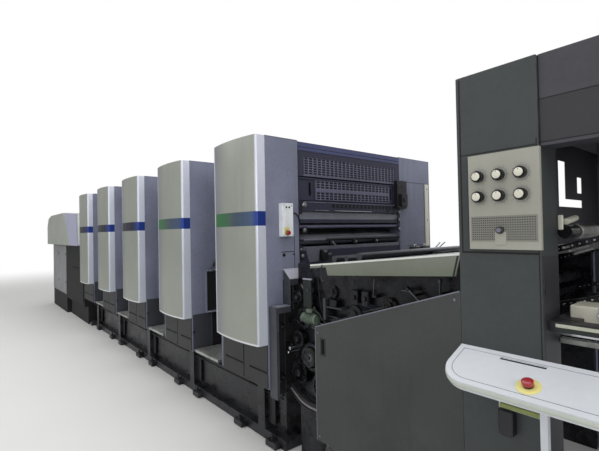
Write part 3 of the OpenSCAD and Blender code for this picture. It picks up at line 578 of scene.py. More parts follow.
class Draft:
    """Collects the solids of one piece and makes its Blender object."""

    def __init__(self, name: str, *finishes: str) -> None:
        """Starts an empty piece.

        Args:
            name: name of the piece.
            finishes: names of its finishes, in the order that solids refer to.
        """
        self.name = name
        self.finishes = finishes
        self.points: list[Vector] = []
        self.faces: list[tuple[int, ...]] = []
        self.tints: list[int] = []

    def solid(self, points: Iterable[Vector], faces: Sequence[Sequence[int]], tint: int) -> None:
        """Adds a closed solid.

        Args:
            points: its points.
            faces: indices of each face, counted in its own points.
            tint: index of its finish.
        """
        start = len(self.points)
        self.points.extend(points)
        self.faces.extend(tuple(start + i for i in face) for face in faces)
        self.tints.extend([tint] * len(faces))

    def skin(self, points: Sequence[Vector], sides: int, tint: int) -> None:
        """Adds a tube over rings of points, closed at both ends.

        Args:
            points: points of the rings, one ring after the other.
            sides: number of points in a ring.
            tint: index of the finish.
        """
        last = len(points) - sides
        faces: list[Sequence[int]] = [range(sides), range(last, len(points))]
        for a in range(0, last, sides):
            for i in range(sides):
                j = (i + 1) % sides
                faces.append((a + i, a + j, a + sides + j, a + sides + i))
        self.solid(points, faces, tint)

    def block(self, low: Point, high: Point, edge: float = 1.5, tint: int = 0, turn: Matrix | None = None) -> None:
        """Adds a box with chamfered edges.

        Args:
            low: lowest corner.
            high: highest corner.
            edge: width of the chamfers.
            tint: index of the finish.
            turn: turns the box about its middle.
        """
        middle, half = (Vector(low) + Vector(high)) / 2, (Vector(high) - Vector(low)) / 2
        cut = min(edge, *(0.4 * h for h in half))
        points = [Vector([s * (half[i] - (0 if i == kind else cut)) for i, s in enumerate(sign)])
                  for sign in SIGNS for kind in range(3)]
        self.solid([middle + (turn @ p if turn else p) for p in points], CHAMFERED, tint)

    def blocks(self, *rows: tuple[Point, Point, float, int]) -> None:
        """Adds boxes from rows of lowest corner, highest corner, chamfer and finish."""
        for row in rows:
            self.block(*row)

    def bars(self, *rows: tuple[Point, Point, float, int]) -> None:
        """Adds round bars from rows of start, end, radius and finish."""
        for row in rows:
            self.bar(*row)

    def lathe(self, centre: Point, way: Sequence[float], profile: Outline,
              sides: int = 24, tint: int = 0) -> None:
        """Turns a profile about an axis; it is closed by a flat or a point at both ends.

        Args:
            centre: point on the axis where the profile starts.
            way: direction of the axis.
            profile: pairs of distance along the axis and radius.
            sides: number of sides.
            tint: index of the finish.
        """
        way = Vector(way).normalized()
        across = way.orthogonal().normalized()
        other = way.cross(across)
        points = []
        for along, radius in profile:
            for i in range(sides):
                angle = math.tau * (i + 0.5) / sides
                spoke = across * math.cos(angle) + other * math.sin(angle)
                points.append(Vector(centre) + way * along + spoke * max(radius, 0.01))
        self.skin(points, sides, tint)

    def bar(self, start: Point, end: Point, radius: float, tint: int = 0, sides: int = 20, edge: float = 1.5) -> None:
        """Adds a round bar with chamfered ends.

        Args:
            start: middle of one end.
            end: middle of the other end.
            radius: radius of the bar.
            tint: index of the finish.
            sides: number of sides.
            edge: width of the end chamfers.
        """
        run = Vector(end) - Vector(start)
        cut = min(edge, radius * 0.4, run.length * 0.3)
        profile = [(0.0, radius - cut), (cut, radius), (run.length - cut, radius), (run.length, radius - cut)]
        self.lathe(start, run, profile, sides, tint)

    def bolt(self, place: Point, way: Sequence[float], radius: float = 7, tint: int = 0) -> None:
        """Adds a hexagon bolt head of this radius on its washer, seated at a place and pointing this way."""
        self.lathe(place, way, [(0, radius * 1.5), (radius * 0.25, radius * 1.45)], 16, tint)
        self.lathe(place, way, [(radius * 0.25, radius), (radius * 0.85, radius), (radius, radius * 0.85)], 6, tint)

    def bolts(self, xs: Iterable[float], ys: Iterable[float], zs: Iterable[float], way: Sequence[float],
              radius: float, tint: int = 0) -> None:
        """Adds a bolt at every x, y and z of three lists."""
        for place in product(xs, ys, zs):
            self.bolt(place, way, radius, tint)

    def slab(self, outline: Outline, axis: Axis, start: float, end: float, tint: int = 0) -> None:
        """Makes an outline solid along an axis.

        Args:
            outline: points in the two other axes, in their order after the given one.
            axis: direction of the thickness.
            start: where the thickness starts.
            end: where it ends.
            tint: index of the finish.
        """
        order = [(i - axis.value) % 3 for i in range(3)]
        spots = [(level, *spot) for level in (start, end) for spot in outline]
        self.skin([Vector([spot[i] for i in order]) for spot in spots], len(outline), tint)

    def hose(self, route: Sequence[Point], radius: float, sides: int = 10, tint: int = 0, steps: int = 6) -> None:
        """Sweeps a round tube along a Catmull-Rom curve through the route's points.

        Args:
            route: points that the curve passes.
            radius: radius of the tube.
            sides: number of sides.
            tint: index of the finish.
            steps: number of rings between two points.
        """
        knots = [Vector(p) for p in route]
        knots = [knots[0] * 2 - knots[1], *knots, knots[-1] * 2 - knots[-2]]
        points = []
        for a, b, c, d in zip(knots, knots[1:], knots[2:], knots[3:]):
            for t in (k / steps for k in range(steps)):
                curve = b * 2 + (c - a) * t + (a * 2 - b * 5 + c * 4 - d) * t**2 + (b * 3 - a - c * 3 + d) * t**3
                points.append(curve / 2)
        points.append(knots[-2])
        rings: list[Vector] = []
        across: Vector | None = None
        for before, point, after in zip(points[:1] + points, points, points[1:] + points[-1:]):
            way = (after - before).normalized()
            across = (way.orthogonal() if across is None else across - way * across.dot(way)).normalized()
            other = way.cross(across)
            for angle in (math.tau * k / sides for k in range(sides)):
                rings.append(point + (across * math.cos(angle) + other * math.sin(angle)) * radius)
        self.skin(rings, sides, tint)

    def made(self, slot: str, body: str = "press") -> bpy.types.Object:
        """Makes the Blender object and lets it ride on a body.

        Args:
            slot: name of a material slot; not used.
            body: name of the CAD body.

        Returns:
            The object.
        """
        mesh = bpy.data.meshes.new(self.name)
        mesh.from_pydata([p / MM + CORNER for p in self.points], [], self.faces)
        for name in self.finishes:
            mesh.materials.append(finish(name))
        mesh.polygons.foreach_set("material_index", self.tints)
        mesh.polygons.foreach_set("use_smooth", [True] * len(self.faces))
        work = bmesh.new()
        work.from_mesh(mesh)
        bmesh.ops.recalc_face_normals(work, faces=work.faces)
        work.to_mesh(mesh)
        work.free()
        mesh.set_sharp_from_angle(angle=math.radians(34))
        piece = add_object(self.name, mesh)
        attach(piece, body)
        log.info("%s: %d faces on %s", self.name, len(self.faces), body)
        return piece


def dress(node: str, material: bpy.types.Material, width: float = 0.0) -> None:
    """Gives a CAD node a material and soft edges.

    Args:
        node: name of the CAD node.
        material: its material.
        width: width of the rounded edges, or 0 to leave them.
    """
    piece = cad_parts[node]
    if not piece.material_slots:
        piece.data.materials.append(material)
    for held in piece.material_slots:
        held.material = material
    if width > 0:
        piece.modifiers.new("weld", "WELD").merge_threshold = 0.00002
        bevel = piece.modifiers.new("round", "BEVEL")
        bevel.width, bevel.segments, bevel.angle_limit = width / MM, 2, math.radians(40)
        bevel.limit_method = "ANGLE"
        bevel.harden_normals = bevel.use_clamp_overlap = True


@dataclass
class PrintingUnit:
    """One printing unit: housings, cover, guards and rollers."""

    number: int
    rib: float = 11
    bar_half: float = 3
    column: float = 45
    row: float = 17
    grid_depth: float = 6

    def __post_init__(self) -> None:
        """Reads the unit's planes from the frame."""
        k = self.number
        self.last = k == LAST
        self.housing = Span.of(f"unit_{k}_housings")
        self.guard = Span.of(f"unit_{k}_guards")
        self.cover = Span.of(f"unit_{k}_front_cover")
        self.rear, self.face, self.top = self.housing.x0, self.guard.x1, self.housing.z1
        self.inner0, self.inner1 = self.guard.y0, self.guard.y1

    def dress(self) -> None:
        """Gives the unit's CAD nodes their finishes."""
        for part, look, width in (("housings", "housing_paint", 3), ("guards", "guard_paint", 1.2),
                                  ("rollers", "roller_rubber", 0)):
            dress(f"unit_{self.number}_{part}", finish(look), width)
        dress(f"unit_{self.number}_front_cover", self.cover_paint().material(), 4)

    def cover_paint(self) -> CoverPaint:
        """Paint of this unit's cover: green to blue on the last two units, blue on the others.

        Returns:
            The paint.
        """
        navy, blue = (22, 26, 48), (34, 60, 142)
        if self.number < LAST - 1:
            bare = (160, 162, 168)
            stops = ((0.0, bare), (0.055, bare), (0.065, navy), (0.8, navy), (0.985, blue))
        else:
            bare = (222, 226, 224)
            stops = ((0.0, bare), (0.055, bare), (0.065, (45, 115, 65)), (0.36, (48, 112, 68)), (0.46, (74, 100, 88)),
                     (0.62, (66, 84, 100)), (0.93, (64, 84, 118)), (0.985, blue))
        start, length = self.cover.x0 / MM + CORNER.x, (self.cover.x1 - self.cover.x0) / MM
        return CoverPaint(f"cover_paint_{self.number}", (156, 160, 151), 0.4, 0.05, 0.1, 0.12, 0.03, 0.3,
                          (200, 200, 200), start=start, length=length, stops=stops)

    def build(self) -> None:
        """Builds the unit's pieces."""
        self.guard_grids()
        self.guard_strips()
        self.seams()
        self.roof()
        self.drive_side()

    def grid(self, part: Draft, y0: float, y1: float, z0: float, z1: float, front: float) -> None:
        """Adds a grid of ribs with slots between them.

        Args:
            part: piece that takes the ribs.
            y0: operator side end.
            y1: drive side end.
            z0: lower end.
            z1: upper end.
            front: x of the ribs' front.
        """
        back = front - self.grid_depth
        part.block((back - 0.8, y0, z0), (back + 1.6, y1, z1), 0.4, 1)
        half = self.rib / 2
        for y in spread(y0 + half, y1 - half, self.column):
            part.block((back, y - half, z0), (front, y + half, z1), 1.2)
        thin = self.bar_half
        for z in spread(z0 + thin, z1 - thin, self.row):
            part.block((back + 1, y0, z - thin), (front - 0.8, y1, z + thin), 1.2)

    def guard_grids(self) -> None:
        """Slotted plates of the two guard windows."""
        windows = (("upper", 1930, 2062),) if self.last else (("upper", 1930, 2062), ("lower", 1734, 1916))
        for name, z0, z1 in windows:
            part = Draft(f"unit_{self.number}_{name}_grid", "guard_rib_paint", "seam_and_shade_black")
            self.grid(part, self.inner0 + 60, self.inner1 - 60, z0, z1, self.face - 6.5)
            part.made("guard_black")

    def guard_strips(self) -> None:
        """Rails and strips on the guard frame: blue top rail, lighter mid rail and slotted strip."""
        f = self.face
        y0, y1 = self.inner0 + 1, self.inner1 - 1
        rails = Draft(f"unit_{self.number}_guard_rails", "rail_paint", "guard_rib_paint", "seam_and_shade_black", "bright_steel",
                      "sheet_grey")
        rails.block((f - 4, y0, self.top - 66), (f + 2, y1, self.top - 8), 2)
        rails.block((f - 2, y0, self.top - 44), (f + 3.5, y1, self.top - 40), 1, 2)
        rails.block((f - 3.5, y0 + 50, 1917), (f + 1, y1 - 50, 1929), 2, 1)
        for z in (1918.5, 1925.5):
            rails.block((f - 3, y0 + 50, z), (f + 1.8, y1 - 50, z + 2.2), 0.5, 4)
        for y in spread(self.inner0 + 340, self.inner1 - 110, self.column):
            rails.block((f - 4, y, 1690), (f - 0.8, y + 30, 1720), 1, 2)
        rails.block((f - 4, y0 + 50, 1724), (f + 0.5, y1 - 50, 1731), 1, 1)
        for a, b in ((170, 300), (370, 800)):
            rails.block((f - 6, self.inner0 + a, 1664), (f + 2, self.inner0 + b, 1670), 1, 3)
        rails.made("guard_black")
        plate = Draft(f"unit_{self.number}_wash_bar", "roller_rubber", "guard_rib_paint")
        plate.bar((f - 30, y0, 1547), (f - 30, y1 - 20, 1547), 14, 1)
        plate.made("guard_black")

    def seams(self) -> None:
        """Seam lines, the trim strip and bolts on the housings' delivery faces."""
        f = self.face
        seams = Draft(f"unit_{self.number}_seams", "seam_and_shade_black", "bright_steel", "housing_paint", "box_white")
        far = self.housing.y1
        seams.block((f - 6, self.inner0 - 1, 1340), (f + 0.8, self.inner0 + 6, self.top - 4), 0.5)
        seams.block((f - 2, self.inner1, 1946), (f + 0.6, far - 4, 1950), 0.5)
        seams.block((f - 2, far - 88, 460), (f + 0.6, far - 84, 1946), 0.5)
        seams.block((f - 2, far - 78, 500), (f + 6, far - 20, 1944), 3, 3)
        seams.block((f - 2, self.inner1 + 100, 1362), (f + 0.6, far - 4, 1366), 0.5)
        seams.block((f - 30, 0, self.top - 1), (f + 2, self.inner0 - 4, self.top + 3), 1, 2)
        seams.bolts((f + 6,), (far - 49,), (560, 900, 1240, 1600, 1900), AHEAD, 6, 1)
        seams.made("housing_grey")

    def roof(self) -> None:
        """Roof plates between the housings, with their bolts."""
        roof = Draft(f"unit_{self.number}_roof", "guard_paint", "ground_steel", "housing_paint")
        z, x0, x1 = self.guard.z1 - 75, self.rear + 30, self.face - 90
        middle = (self.inner0 + self.inner1) / 2
        for y0, y1 in ((self.inner0 + 20, middle - 10), (middle + 10, self.inner1 - 20)):
            roof.block((x0, y0, z), (x1, y1, z + 6), 2)
            roof.bolts((x0 + 30, x1 - 30), (y0 + 30, (y0 + y1) / 2, y1 - 30), (z + 6,), UP, 7, 1)
        for y0, y1 in ((30, self.inner0 - 30), (self.inner1 + 30, self.housing.y1 - 30)):
            roof.block((x0, y0, self.top), (self.face - 30, y1, self.top + 5), 2, 2)
            roof.bolts((self.rear + 60, self.face - 60), (y0 + 30, y1 - 30), (self.top + 5,), UP, 8, 1)
        roof.made("housing_grey")

    def drive_side(self) -> None:
        """Doors, louvres and locks of the drive side."""
        y = self.housing.y1
        door = Draft(f"unit_{self.number}_drive_doors", "housing_paint", "seam_and_shade_black", "ground_steel")
        for z0, z1 in ((470, 1280), (1290, 2150)):
            door.block((self.rear + 12, y - 2, z0), (self.face - 12, y + 10, z1), 4)
            for z in (z0 + 120, z1 - 120):
                door.bar((self.face - 70, y + 10, z), (self.face - 70, y + 14, z), 14, 2)
                door.block((self.face - 72, y + 12, z - 8), (self.face - 68, y + 15.5, z + 8), 0.4, 1)
        for z in spread(1860, 2040, 22):
            door.block((self.rear + 140, y + 8, z), (self.face - 140, y + 10.5, z + 8), 0.8, 1)
            turn = Matrix.Rotation(math.radians(28), 3, "X")
            door.block((self.rear + 140, y + 8, z + 6), (self.face - 140, y + 17, z + 10), 0.8, 0, turn)
        door.made("housing_grey")


@dataclass
class LastUnitFace:
    """Open face of the last unit: swing guard grid, plates, bolts and clamps."""

    grid_y: tuple[float, float] = (462, 1335)
    grid_z: tuple[float, float] = (1746, 1894)
    grid_front: float = -3.5
    slot_y: tuple[float, float] = (399, 1348)
    slot_w: float = 16
    slot_z: tuple[float, float] = (1780, 1870)
    rim: float = 4

    def build(self) -> None:
        """Builds the pieces of the face."""
        self.swing_grid()
        self.plates()
        self.bolts()
        self.bracket()

    def swing_grid(self) -> None:
        """Ribs of the swing guard, with a wide bar half-way up and rims round the finger slots."""
        part = Draft("swing_guard_grid", "guard_rib_paint", "seam_and_shade_black", "black_sheet", "guard_paint")
        (y0, y1), (z0, z1), front = self.grid_y, self.grid_z, self.grid_front
        middle = (z0 + z1) / 2
        unit = PrintingUnit(LAST)
        for low, high in ((z0, middle - 10), (middle + 10, z1)):
            unit.grid(part, y0, y1, low, high, front)
        part.block((front - 5.5, y0, middle - 12), (front + 0.8, y1, middle + 12), 1)
        for y in (y0 - 12, y1):
            part.block((front - 5.5, y, z0), (front, y + 12, z1), 1, 3)
        for y in self.slot_y:
            low, high = self.slot_z
            for a, b in ((y - self.rim, y), (y + self.slot_w, y + self.slot_w + self.rim)):
                part.block((-9, a, low - self.rim), (-5.5, b, high + self.rim), 0.8, 2)
            for a, b in ((low - self.rim, low), (high, high + self.rim)):
                part.block((-9, y - self.rim, a), (-5.5, y + self.slot_w + self.rim, b), 0.8, 2)
        part.made("guard_black", "swing_guard")

    def plates(self) -> None:
        """Plates and clamps under the swing guard."""
        part = Draft("ink_duct_plates", "sheet_grey", "black_plastic", "ground_steel", "black_sheet", "duct_grey")
        part.slab([(352, 1390), (388, 1282), (478, 1288), (491, 1381)], Axis.X, -11, -4)
        part.blocks(
            ((-12, 500, 1292), (20, 562, 1372), 4, 1), ((-10, 562, 1325), (6, 612, 1342), 3, 2),
            ((0, 515, 1350), (26, 545, 1366), 3, 2), ((-15.5, 300, 1372), (-9, 1470, 1399), 2, 0),
            ((-20, 291, 1640), (6, 322, 1735), 3, 3),
        )
        part.bars(
            ((-20, 612, 1448), (4, 652, 1400), 5, 2), ((-4, 310, 1190), (-4, 385, 1238), 6, 2),
            ((-12, 330, 1170), (-12, 400, 1222), 5, 2),
        )
        for y in (600, 860, 1120):
            part.block((-16, y, 1405), (4, y + 36, 1440), 3, 1)
            part.bar((4, y + 18, 1422.5), (16, y + 18, 1422.5), 8, 2)
        part.block((-30, 300, 1600), (-22, 1470, 1660), 3, 4)
        part.bars(((-16, 300, 1447), (-16, 1470, 1447), 9, 3), ((-16, 340, 1447), (-16, 560, 1447), 9.4, 0))
        for y in (1385, 1300):
            part.block((-20, y, 1655), (4, y + 45, 1690), 3, 3)
        part.made("cylinder_steel")

    def bolts(self) -> None:
        """Bolts of the housings' inner edges."""
        part = Draft("face_bolts", "ground_steel", "black_sheet")
        part.lathe((-5, 351, 1705), AHEAD, [(0, 20), (4, 20), (6, 17)], 20)
        part.bolt((1, 351, 1705), AHEAD, 10)
        for y, z, r in ((346, 1522, 11), (322, 1334, 10), (310, 1382, 8)):
            part.block((-12, y - 20, z - 26), (-1, y + 20, z + 26), 3, 1)
            part.bolt((-1, y, z), AHEAD, r)
        for y, z in ((1439, 1724), (1466, 1671), (1466, 1600), (1466, 1520)):
            part.block((-12, y - 14, z - 18), (-1, y + 12, z + 18), 2, 1)
            part.bolt((-1, y, z), AHEAD, 9)
        part.made("cylinder_steel")

    def bracket(self) -> None:
        """Bolts, lock and edge of the black bracket on the drive side."""
        box = Span.of("guard_bracket")
        part = Draft("bracket_details", "black_sheet", "dull_steel")
        part.block((30, box.y0 + 4, box.z0 + 4), (36, box.y1 - 30, box.z1 - 40), 3)
        for y, z in ((box.y0 + 22, 1900), (box.y1 - 60, 1900), (box.y0 + 22, 1712)):
            part.bolt((36, y, z), AHEAD, 7, 1)
        middle = (box.y0 + box.y1) / 2
        part.bars(((60, middle, 1775), (70, middle, 1775), 16, 0), ((69, middle, 1775), (73, middle, 1775), 8, 1))
        part.made("guard_black")


@dataclass
class Pendant:
    """Hanging panel with its stop button, and the lock under it."""

    inset: float = 6

    def build(self) -> None:
        """Builds the panel's details."""
        box, stop = Span.of("pendant_panel"), Span.of("pendant_stop_button")
        y, z = (stop.y0 + stop.y1) / 2, (stop.z0 + stop.z1) / 2
        front, rim = box.x1, self.inset
        part = Draft("pendant_details", "panel_white", "ring_yellow", "black_plastic", "lug_green", "bright_steel")
        for z0, z1 in ((box.z0 + 4, box.z0 + 10), (box.z1 - 10, box.z1 - 4)):
            part.block((front - 2, box.y0 + 4, z0), (front + 2, box.y1 - 4, z1), 1)
        for y0 in (box.y0 + 4, box.y1 - 10):
            part.block((front - 2, y0, box.z0 + 4), (front + 2, y0 + rim, box.z1 - 4), 1)
        part.block((front - 2, box.y0 + 14, box.z0 + 12), (front + 1.5, y + 20, box.z0 + 62), 2, 1)
        part.lathe((front - 1, y, z), AHEAD, [(0, 21), (3.5, 20), (3.5, 8)], 24, 3)
        for dy in (-12, 12):
            side = (box.y0 + box.y1) / 2 + dy
            part.bar((front - 1, side, box.z1 - 28), (front + 5, side, box.z1 - 28), 7, 2)
        for dz in (75, 110, 145):
            part.lathe((front - 1, box.y0 + 30, box.z0 + dz), AHEAD, [(0, 10), (4, 9)], 16)
        part.bolts((front,), (box.y0 + 12, box.y1 - 12), (box.z0 + 8, box.z1 - 18), AHEAD, 2.5, 4)
        part.hose([(20, box.y1 - 4, 1645), (22, 250, 1636), (12, 284, 1600), (-2, 294, 1580)], 6, tint=2)
        part.made("desk_white")
        cap = Draft("pendant_stop_cap", "stop_red")
        cap.lathe((stop.x1 - 4, y, z), AHEAD, [(0, 13), (5, 14.5), (8, 12.5), (9.5, 4)])
        cap.made("stop_red", "pendant_stop_button")
        lower = Draft("recess_details", "seam_and_shade_black", "black_plastic", "housing_paint", "bright_steel")
        lower.block((-1, 125.5, 1369), (2, 242, 1374), 0.6)
        lower.block((-1, 242, 1240), (1.2, 246, 1478), 0.6)
        lower.block((-1, 126, 1312), (0.6, 242, 1455), 0.4, 2)
        lower.lathe((0, 149, 1350), AHEAD, [(0, 13), (4, 12), (4, 6), (2, 5)], 20, 1)
        lower.bar((0, 236, 1352), (10, 236, 1352), 6, 1)
        lower.made("housing_grey")


@dataclass
class GearSide:
    """Exposed gears, motor, pulley and pipes between the last unit and the delivery's side panel."""

    plane: float = 200
    wheels: tuple[tuple[float, float, float, float], ...] = (
        (130, 790, 58, 45), (215, 945, 70, 60), (272, 700, 92, 50), (130, 1070, 44, 40), (250, 1130, 40, 36),
        (140, 570, 78, 45), (345, 520, 88, 40),
    )
    tooth: float = 4.5
    hub_out: float = 22
    hub_share: float = 0.3
    flange_y: float = 12
    shaft_ends: tuple[tuple[float, float, float], ...] = (
        (190, 900, 30), (235, 800, 22), (180, 720, 36), (230, 640, 20), (190, 540, 30),
    )

    def build(self) -> None:
        """Builds the pieces."""
        self.gears()
        self.casing()
        self.motor()
        self.pipes()
        self.frame_plate()

    def gears(self) -> None:
        """Toothed gears in place of the CAD's plain wheels."""
        part = Draft("toothed_gears", "gear_iron", "dull_steel", "black_sheet")
        for x, z, radius, thick in self.wheels:
            self.gear(part, x, z, radius, thick)
        piece = part.made("bed_iron")
        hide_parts("gear_train")

    def gear(self, part: Draft, x: float, z: float, radius: float, thick: float) -> None:
        """Adds one gear with teeth, a recessed web and a bright hub.

        Args:
            part: piece that takes the gear.
            x: place along the line.
            z: height of the shaft.
            radius: radius over the teeth.
            thick: thickness of the gear.
        """
        depth = 2.2 * self.tooth
        root, hub, web = radius - depth, radius * self.hub_share, thick * 0.35
        rim, end = root - 12, thick + self.hub_out
        profile = [(0, 0.1), (0, root - 1), (1, root), (thick - 2, root), (thick, root - 2), (thick, rim),
                   (thick - web, rim - 3), (thick - web, hub + 4), (thick - 4, hub), (thick - 4, 0.1)]
        part.lathe((x, self.plane, z), FRONT, profile, 40)
        cap = [(thick - 6, hub), (end - 2, hub), (end, hub - 2), (end, hub * 0.45), (end - 6, hub * 0.4),
               (end - 6, 0.1)]
        part.lathe((x, self.plane, z), FRONT, cap, 20, 1)
        count = max(12, round(math.tau * (radius - depth / 2) / (math.pi * self.tooth)))
        pitch = math.tau / count
        tooth = [(root - 1, -0.3 * pitch), (radius, -0.14 * pitch), (radius, 0.14 * pitch), (root - 1, 0.3 * pitch)]
        for turn in (pitch * i for i in range(count)):
            ring = [(z + r * math.sin(turn + a), x + r * math.cos(turn + a)) for r, a in tooth]
            part.slab(ring, Axis.Y, self.plane - thick + 1, self.plane - 1)
        for bx, bz in around(x, z, (hub + rim) / 2, 4, math.tau / 8):
            part.lathe((bx, self.plane - thick + web, bz), FRONT, [(-1, 6), (4, 6), (5, 4)], 6, 1)

    def casing(self) -> None:
        """Bright lids, lip, screws and inside pieces of the stepped casing, and dark sheets of painted shade in it."""
        box = Span.of("step_casing")
        part = Draft("casing_details", "casing_lid", "hatch_green", "dull_steel", "gear_iron", "duct_grey",
                     "seam_and_shade_black", "casing_paint")
        step, wall, side = 133, box.y0, 277
        part.block((0, self.flange_y, box.z0), (box.x1 - 2, wall + 1, 1008), 1.5, 6)
        # painted shade: dark sheets over the housing face and the service frame inside the casing
        part.block((0.4, step + 2, 452), (4, side + 10, box.z1 - 72), 0.8, 5)
        part.block((13, step + 2, 786), (16, side + 6, box.z1 - 72), 0.8, 5)
        for y, z, r in self.shaft_ends:
            part.lathe((3 if z < 780 else 15.5, y, z), AHEAD,
                       [(0, r), (10, r), (12, r * 0.8), (12, r * 0.4), (22, r * 0.35), (22, 0.1)], 20, 3)
            part.bolt((24, y, z), AHEAD, r * 0.3, 2)
        part.slab([(step, box.z1 - 4), (side, box.z1 - 4), (side, box.z1 + 3), (step, box.z1 + 3)],
                  Axis.X, 0, 16)
        fall = 62
        lid = [(box.z1 + 1, 14), (box.z1 + 4, 14), (box.z1 + 4 - fall, box.x1 + 1), (box.z1 - fall, box.x1 + 1)]
        part.slab(lid, Axis.Y, step - 2, side + 1)
        part.block((box.x0, wall - 2, 1008), (box.x1 + 1, step, 1012), 1.5, 4)
        part.bolts((50,), (step,), (1160, 1060), FRONT, 5, 2)
        part.bolts((48,), (wall,), (960, 800, 620, 450), FRONT, 5, 2)
        # painted shade: two more dark sheets inside the casing
        part.blocks(
            ((16.5, step + 6, 976), (20, side - 6, 1190), 0.5, 5), ((16.5, wall + 6, 406), (20, step - 6, 960), 0.5, 5),
        )
        part.bars(
            ((55, 150, 1020), (55, 230, 1020), 10, 2), ((40, 190, 1100), (70, 190, 1100), 8, 2),
            ((40, 214, 980), (40, 214, 1170), 6, 3), ((60, 176, 980), (60, 176, 1150), 5, 2),
        )
        for z in (500, 840):
            part.block((18, 62, z), (50, 108, z + 55), 4, 3)
            part.bar((50, 85, z + 28), (56, 85, z + 28), 8, 2)
        part.blocks(((200, 150, 1000), (280, 158, 1198), 2, 1), ((198, 146, 1196), (283, 162, 1204), 2, 0))
        for x in (212, 268):
            part.bolts((x,), (150,), (1020, 1180), FRONT, 4, 2)
            part.bar((x, 157, 1030), (x, self.plane, 1030), 6, 3)
        part.made("housing_grey")

    def motor(self) -> None:
        """Small geared motor with fins, its belt wheel, and two knobs."""
        part = Draft("gear_motor", "motor_green", "dull_steel", "black_plastic", "gear_iron", "hose_black")
        y, z = 150, 952
        shell = [(0, 24), (4, 34), (30, 34), (30, 36), (118, 36), (118, 34), (128, 30), (129, 12)]
        part.lathe((205, y, z), AHEAD, shell)
        for x in spread(240, 318, 11):
            part.lathe((x, y, z), AHEAD, [(0, 40.5), (4, 40.5)])
        part.blocks(((252, y - 26, z + 36), (306, y + 22, z + 62), 4, 0),
                    ((214, y, z - 60), (320, self.plane + 2, z - 36), 3, 3))
        part.bar((306, y, z + 49), (320, y, z + 49), 8, 2)
        part.hose([(318, y, z + 49), (352, y, z + 40), (372, 175, z - 10), (380, 196, z - 50)], 6, tint=4)
        part.bolts((226, 306), (y + 12,), (z - 60,), DOWN, 6, 1)
        wheel = [(0, 0.1), (0, 60), (4, 60), (5, 52), (19, 52), (20, 60), (24, 60), (24, 46), (17, 42), (17, 20),
                 (28, 18), (28, 0.1)]
        part.lathe((257, 152, 698), FRONT, wheel, 32, 3)
        part.made("bed_iron")
        belt = Draft("drive_belt", "olive_ring")
        outer, inner = around(257, 698, 57, 36), around(257, 698, 52.44, 36)
        for i in range(36):
            corners = (outer[i - 1], outer[i], inner[i], inner[i - 1])
            belt.slab([(z, x) for x, z in corners], Axis.Y, 134, 146)
        belt.made("knob_plate")
        knobs = Draft("adjusting_knobs", "bright_steel", "black_plastic", "dial_cream")
        for x, z, r in ((97, 730, 13), (83, 700, 9)):
            knobs.bar((x, self.plane, z), (x, 115, z), r * 0.5)
            knobs.lathe((x, 118, z), FRONT, [(0, r * 0.8), (3, r), (12, r), (16, r * 0.7)], 20)
        knobs.made("cylinder_steel")

    def pipes(self) -> None:
        """Posts, shelves, rods, and the oil lines fixed to the frame plate."""
        part = Draft("frame_fittings", "casing_paint", "dull_steel", "gear_iron", "black_plastic")
        y = self.plane
        part.blocks(
            ((400, 140, 963), (422, 206, 1096), 3, 0), ((422, 146, 1040), (560, 206, 1048), 2, 0),
            ((422, 150, 985), (520, 206, 993), 2, 2), ((440, 156, 1048), (500, 200, 1090), 4, 2),
            ((780, 155, 1140), (812, y, 1158), 3, 2), ((980, 150, 1196), (1040, 176, 1206), 2, 1),
        )
        part.bars(
            ((1031, 150, 1207), (1088, 150, 1159), 7, 1), ((1031, 150, 1207), (1018, 150, 1218), 11, 3),
            ((1060, 150, 1183), (1060, y, 1183), 6, 2), ((1205, 150, 1192), (1205, 150, 1262), 6, 1),
            ((1205, 150, 1258), (1205, 150, 1276), 11, 1), ((1205, 150, 1205), (1205, y, 1205), 6, 2),
            ((790, 160, 1150), (800, 160, 1245), 4, 1),
        )
        for x in (620, 700):
            part.block((x, 160, 1080), (x + 50, y, 1170), 4, 2)
            part.bar((x + 25, 160, 1125), (x + 25, 148, 1125), 14, 2)
        part.made("chain_black")
        lines = Draft("oil_lines", "bright_steel", "hose_black", "hose_grey", "gear_iron")
        block_x, block_z = 395, 840
        lines.block((block_x - 30, y - 30, block_z - 20), (block_x + 55, y, block_z + 20), 3, 3)
        ends = ((215, 1045), (300, 1210), (130, 1150), (60, 900), (130, 660), (440, 640))
        for i, (x, z) in enumerate(ends):
            start = (block_x - 20 + 13 * i, y - 16, block_z + (18 if z > block_z else -18))
            side = 50 if z > block_z else -50
            middle = ((start[0] + x) / 2 + 20 * (i % 3 - 1), y - 20 - 6 * (i % 2), (start[2] + z) / 2)
            knee = (start[0], y - 22, start[2] + side)
            lines.hose([start, knee, middle, (x, y - 6, z)], 3.5, 8, i % 3)
            lines.bar((start[0], start[1], block_z - 21), (start[0], start[1], block_z + 21), 6, 0, 6)
        for z0, r, tint in ((400, 9, 1), (372, 7, 2), (350, 6, 1)):
            route = [(30, y - 30, z0 + 60), (160, y - 34, z0), (320, y - 30, z0 - 10), (470, y - 20, z0 + 20)]
            lines.hose([*route, (600, y - 20, z0 + 30)], r, 8, tint)
        lines.made("chain_black")

    def frame_plate(self) -> None:
        """Ribs, bearing caps and bolts of the delivery's frame plates."""
        part = Draft("frame_plate_details", "gear_iron", "chain_iron", "bed_iron_oiled")
        y = self.plane
        for x, z, r in ((440, 1130, 40), (620, 1020, 55), (880, 1100, 48), (1120, 1060, 60)):
            profile = [(0, r), (14, r), (18, r - 4), (18, r * 0.5), (30, r * 0.45), (32, r * 0.3)]
            part.lathe((x, y + 2, z), FRONT, profile, 28)
            for bx, bz in around(x, z, r * 0.75, 6):
                part.bolt((bx, y - 16, bz), FRONT, 5, 1)
        for x in spread(120, 1360, 155):
            part.bolt((x, y, deck(x) - 60 if x > 460 else 1255), FRONT, 8, 1)
        for z in (620, 440):
            part.block((400, y - 12, z), (478, y + 2, z + 26), 4, 2)
        part.made("bed_iron")


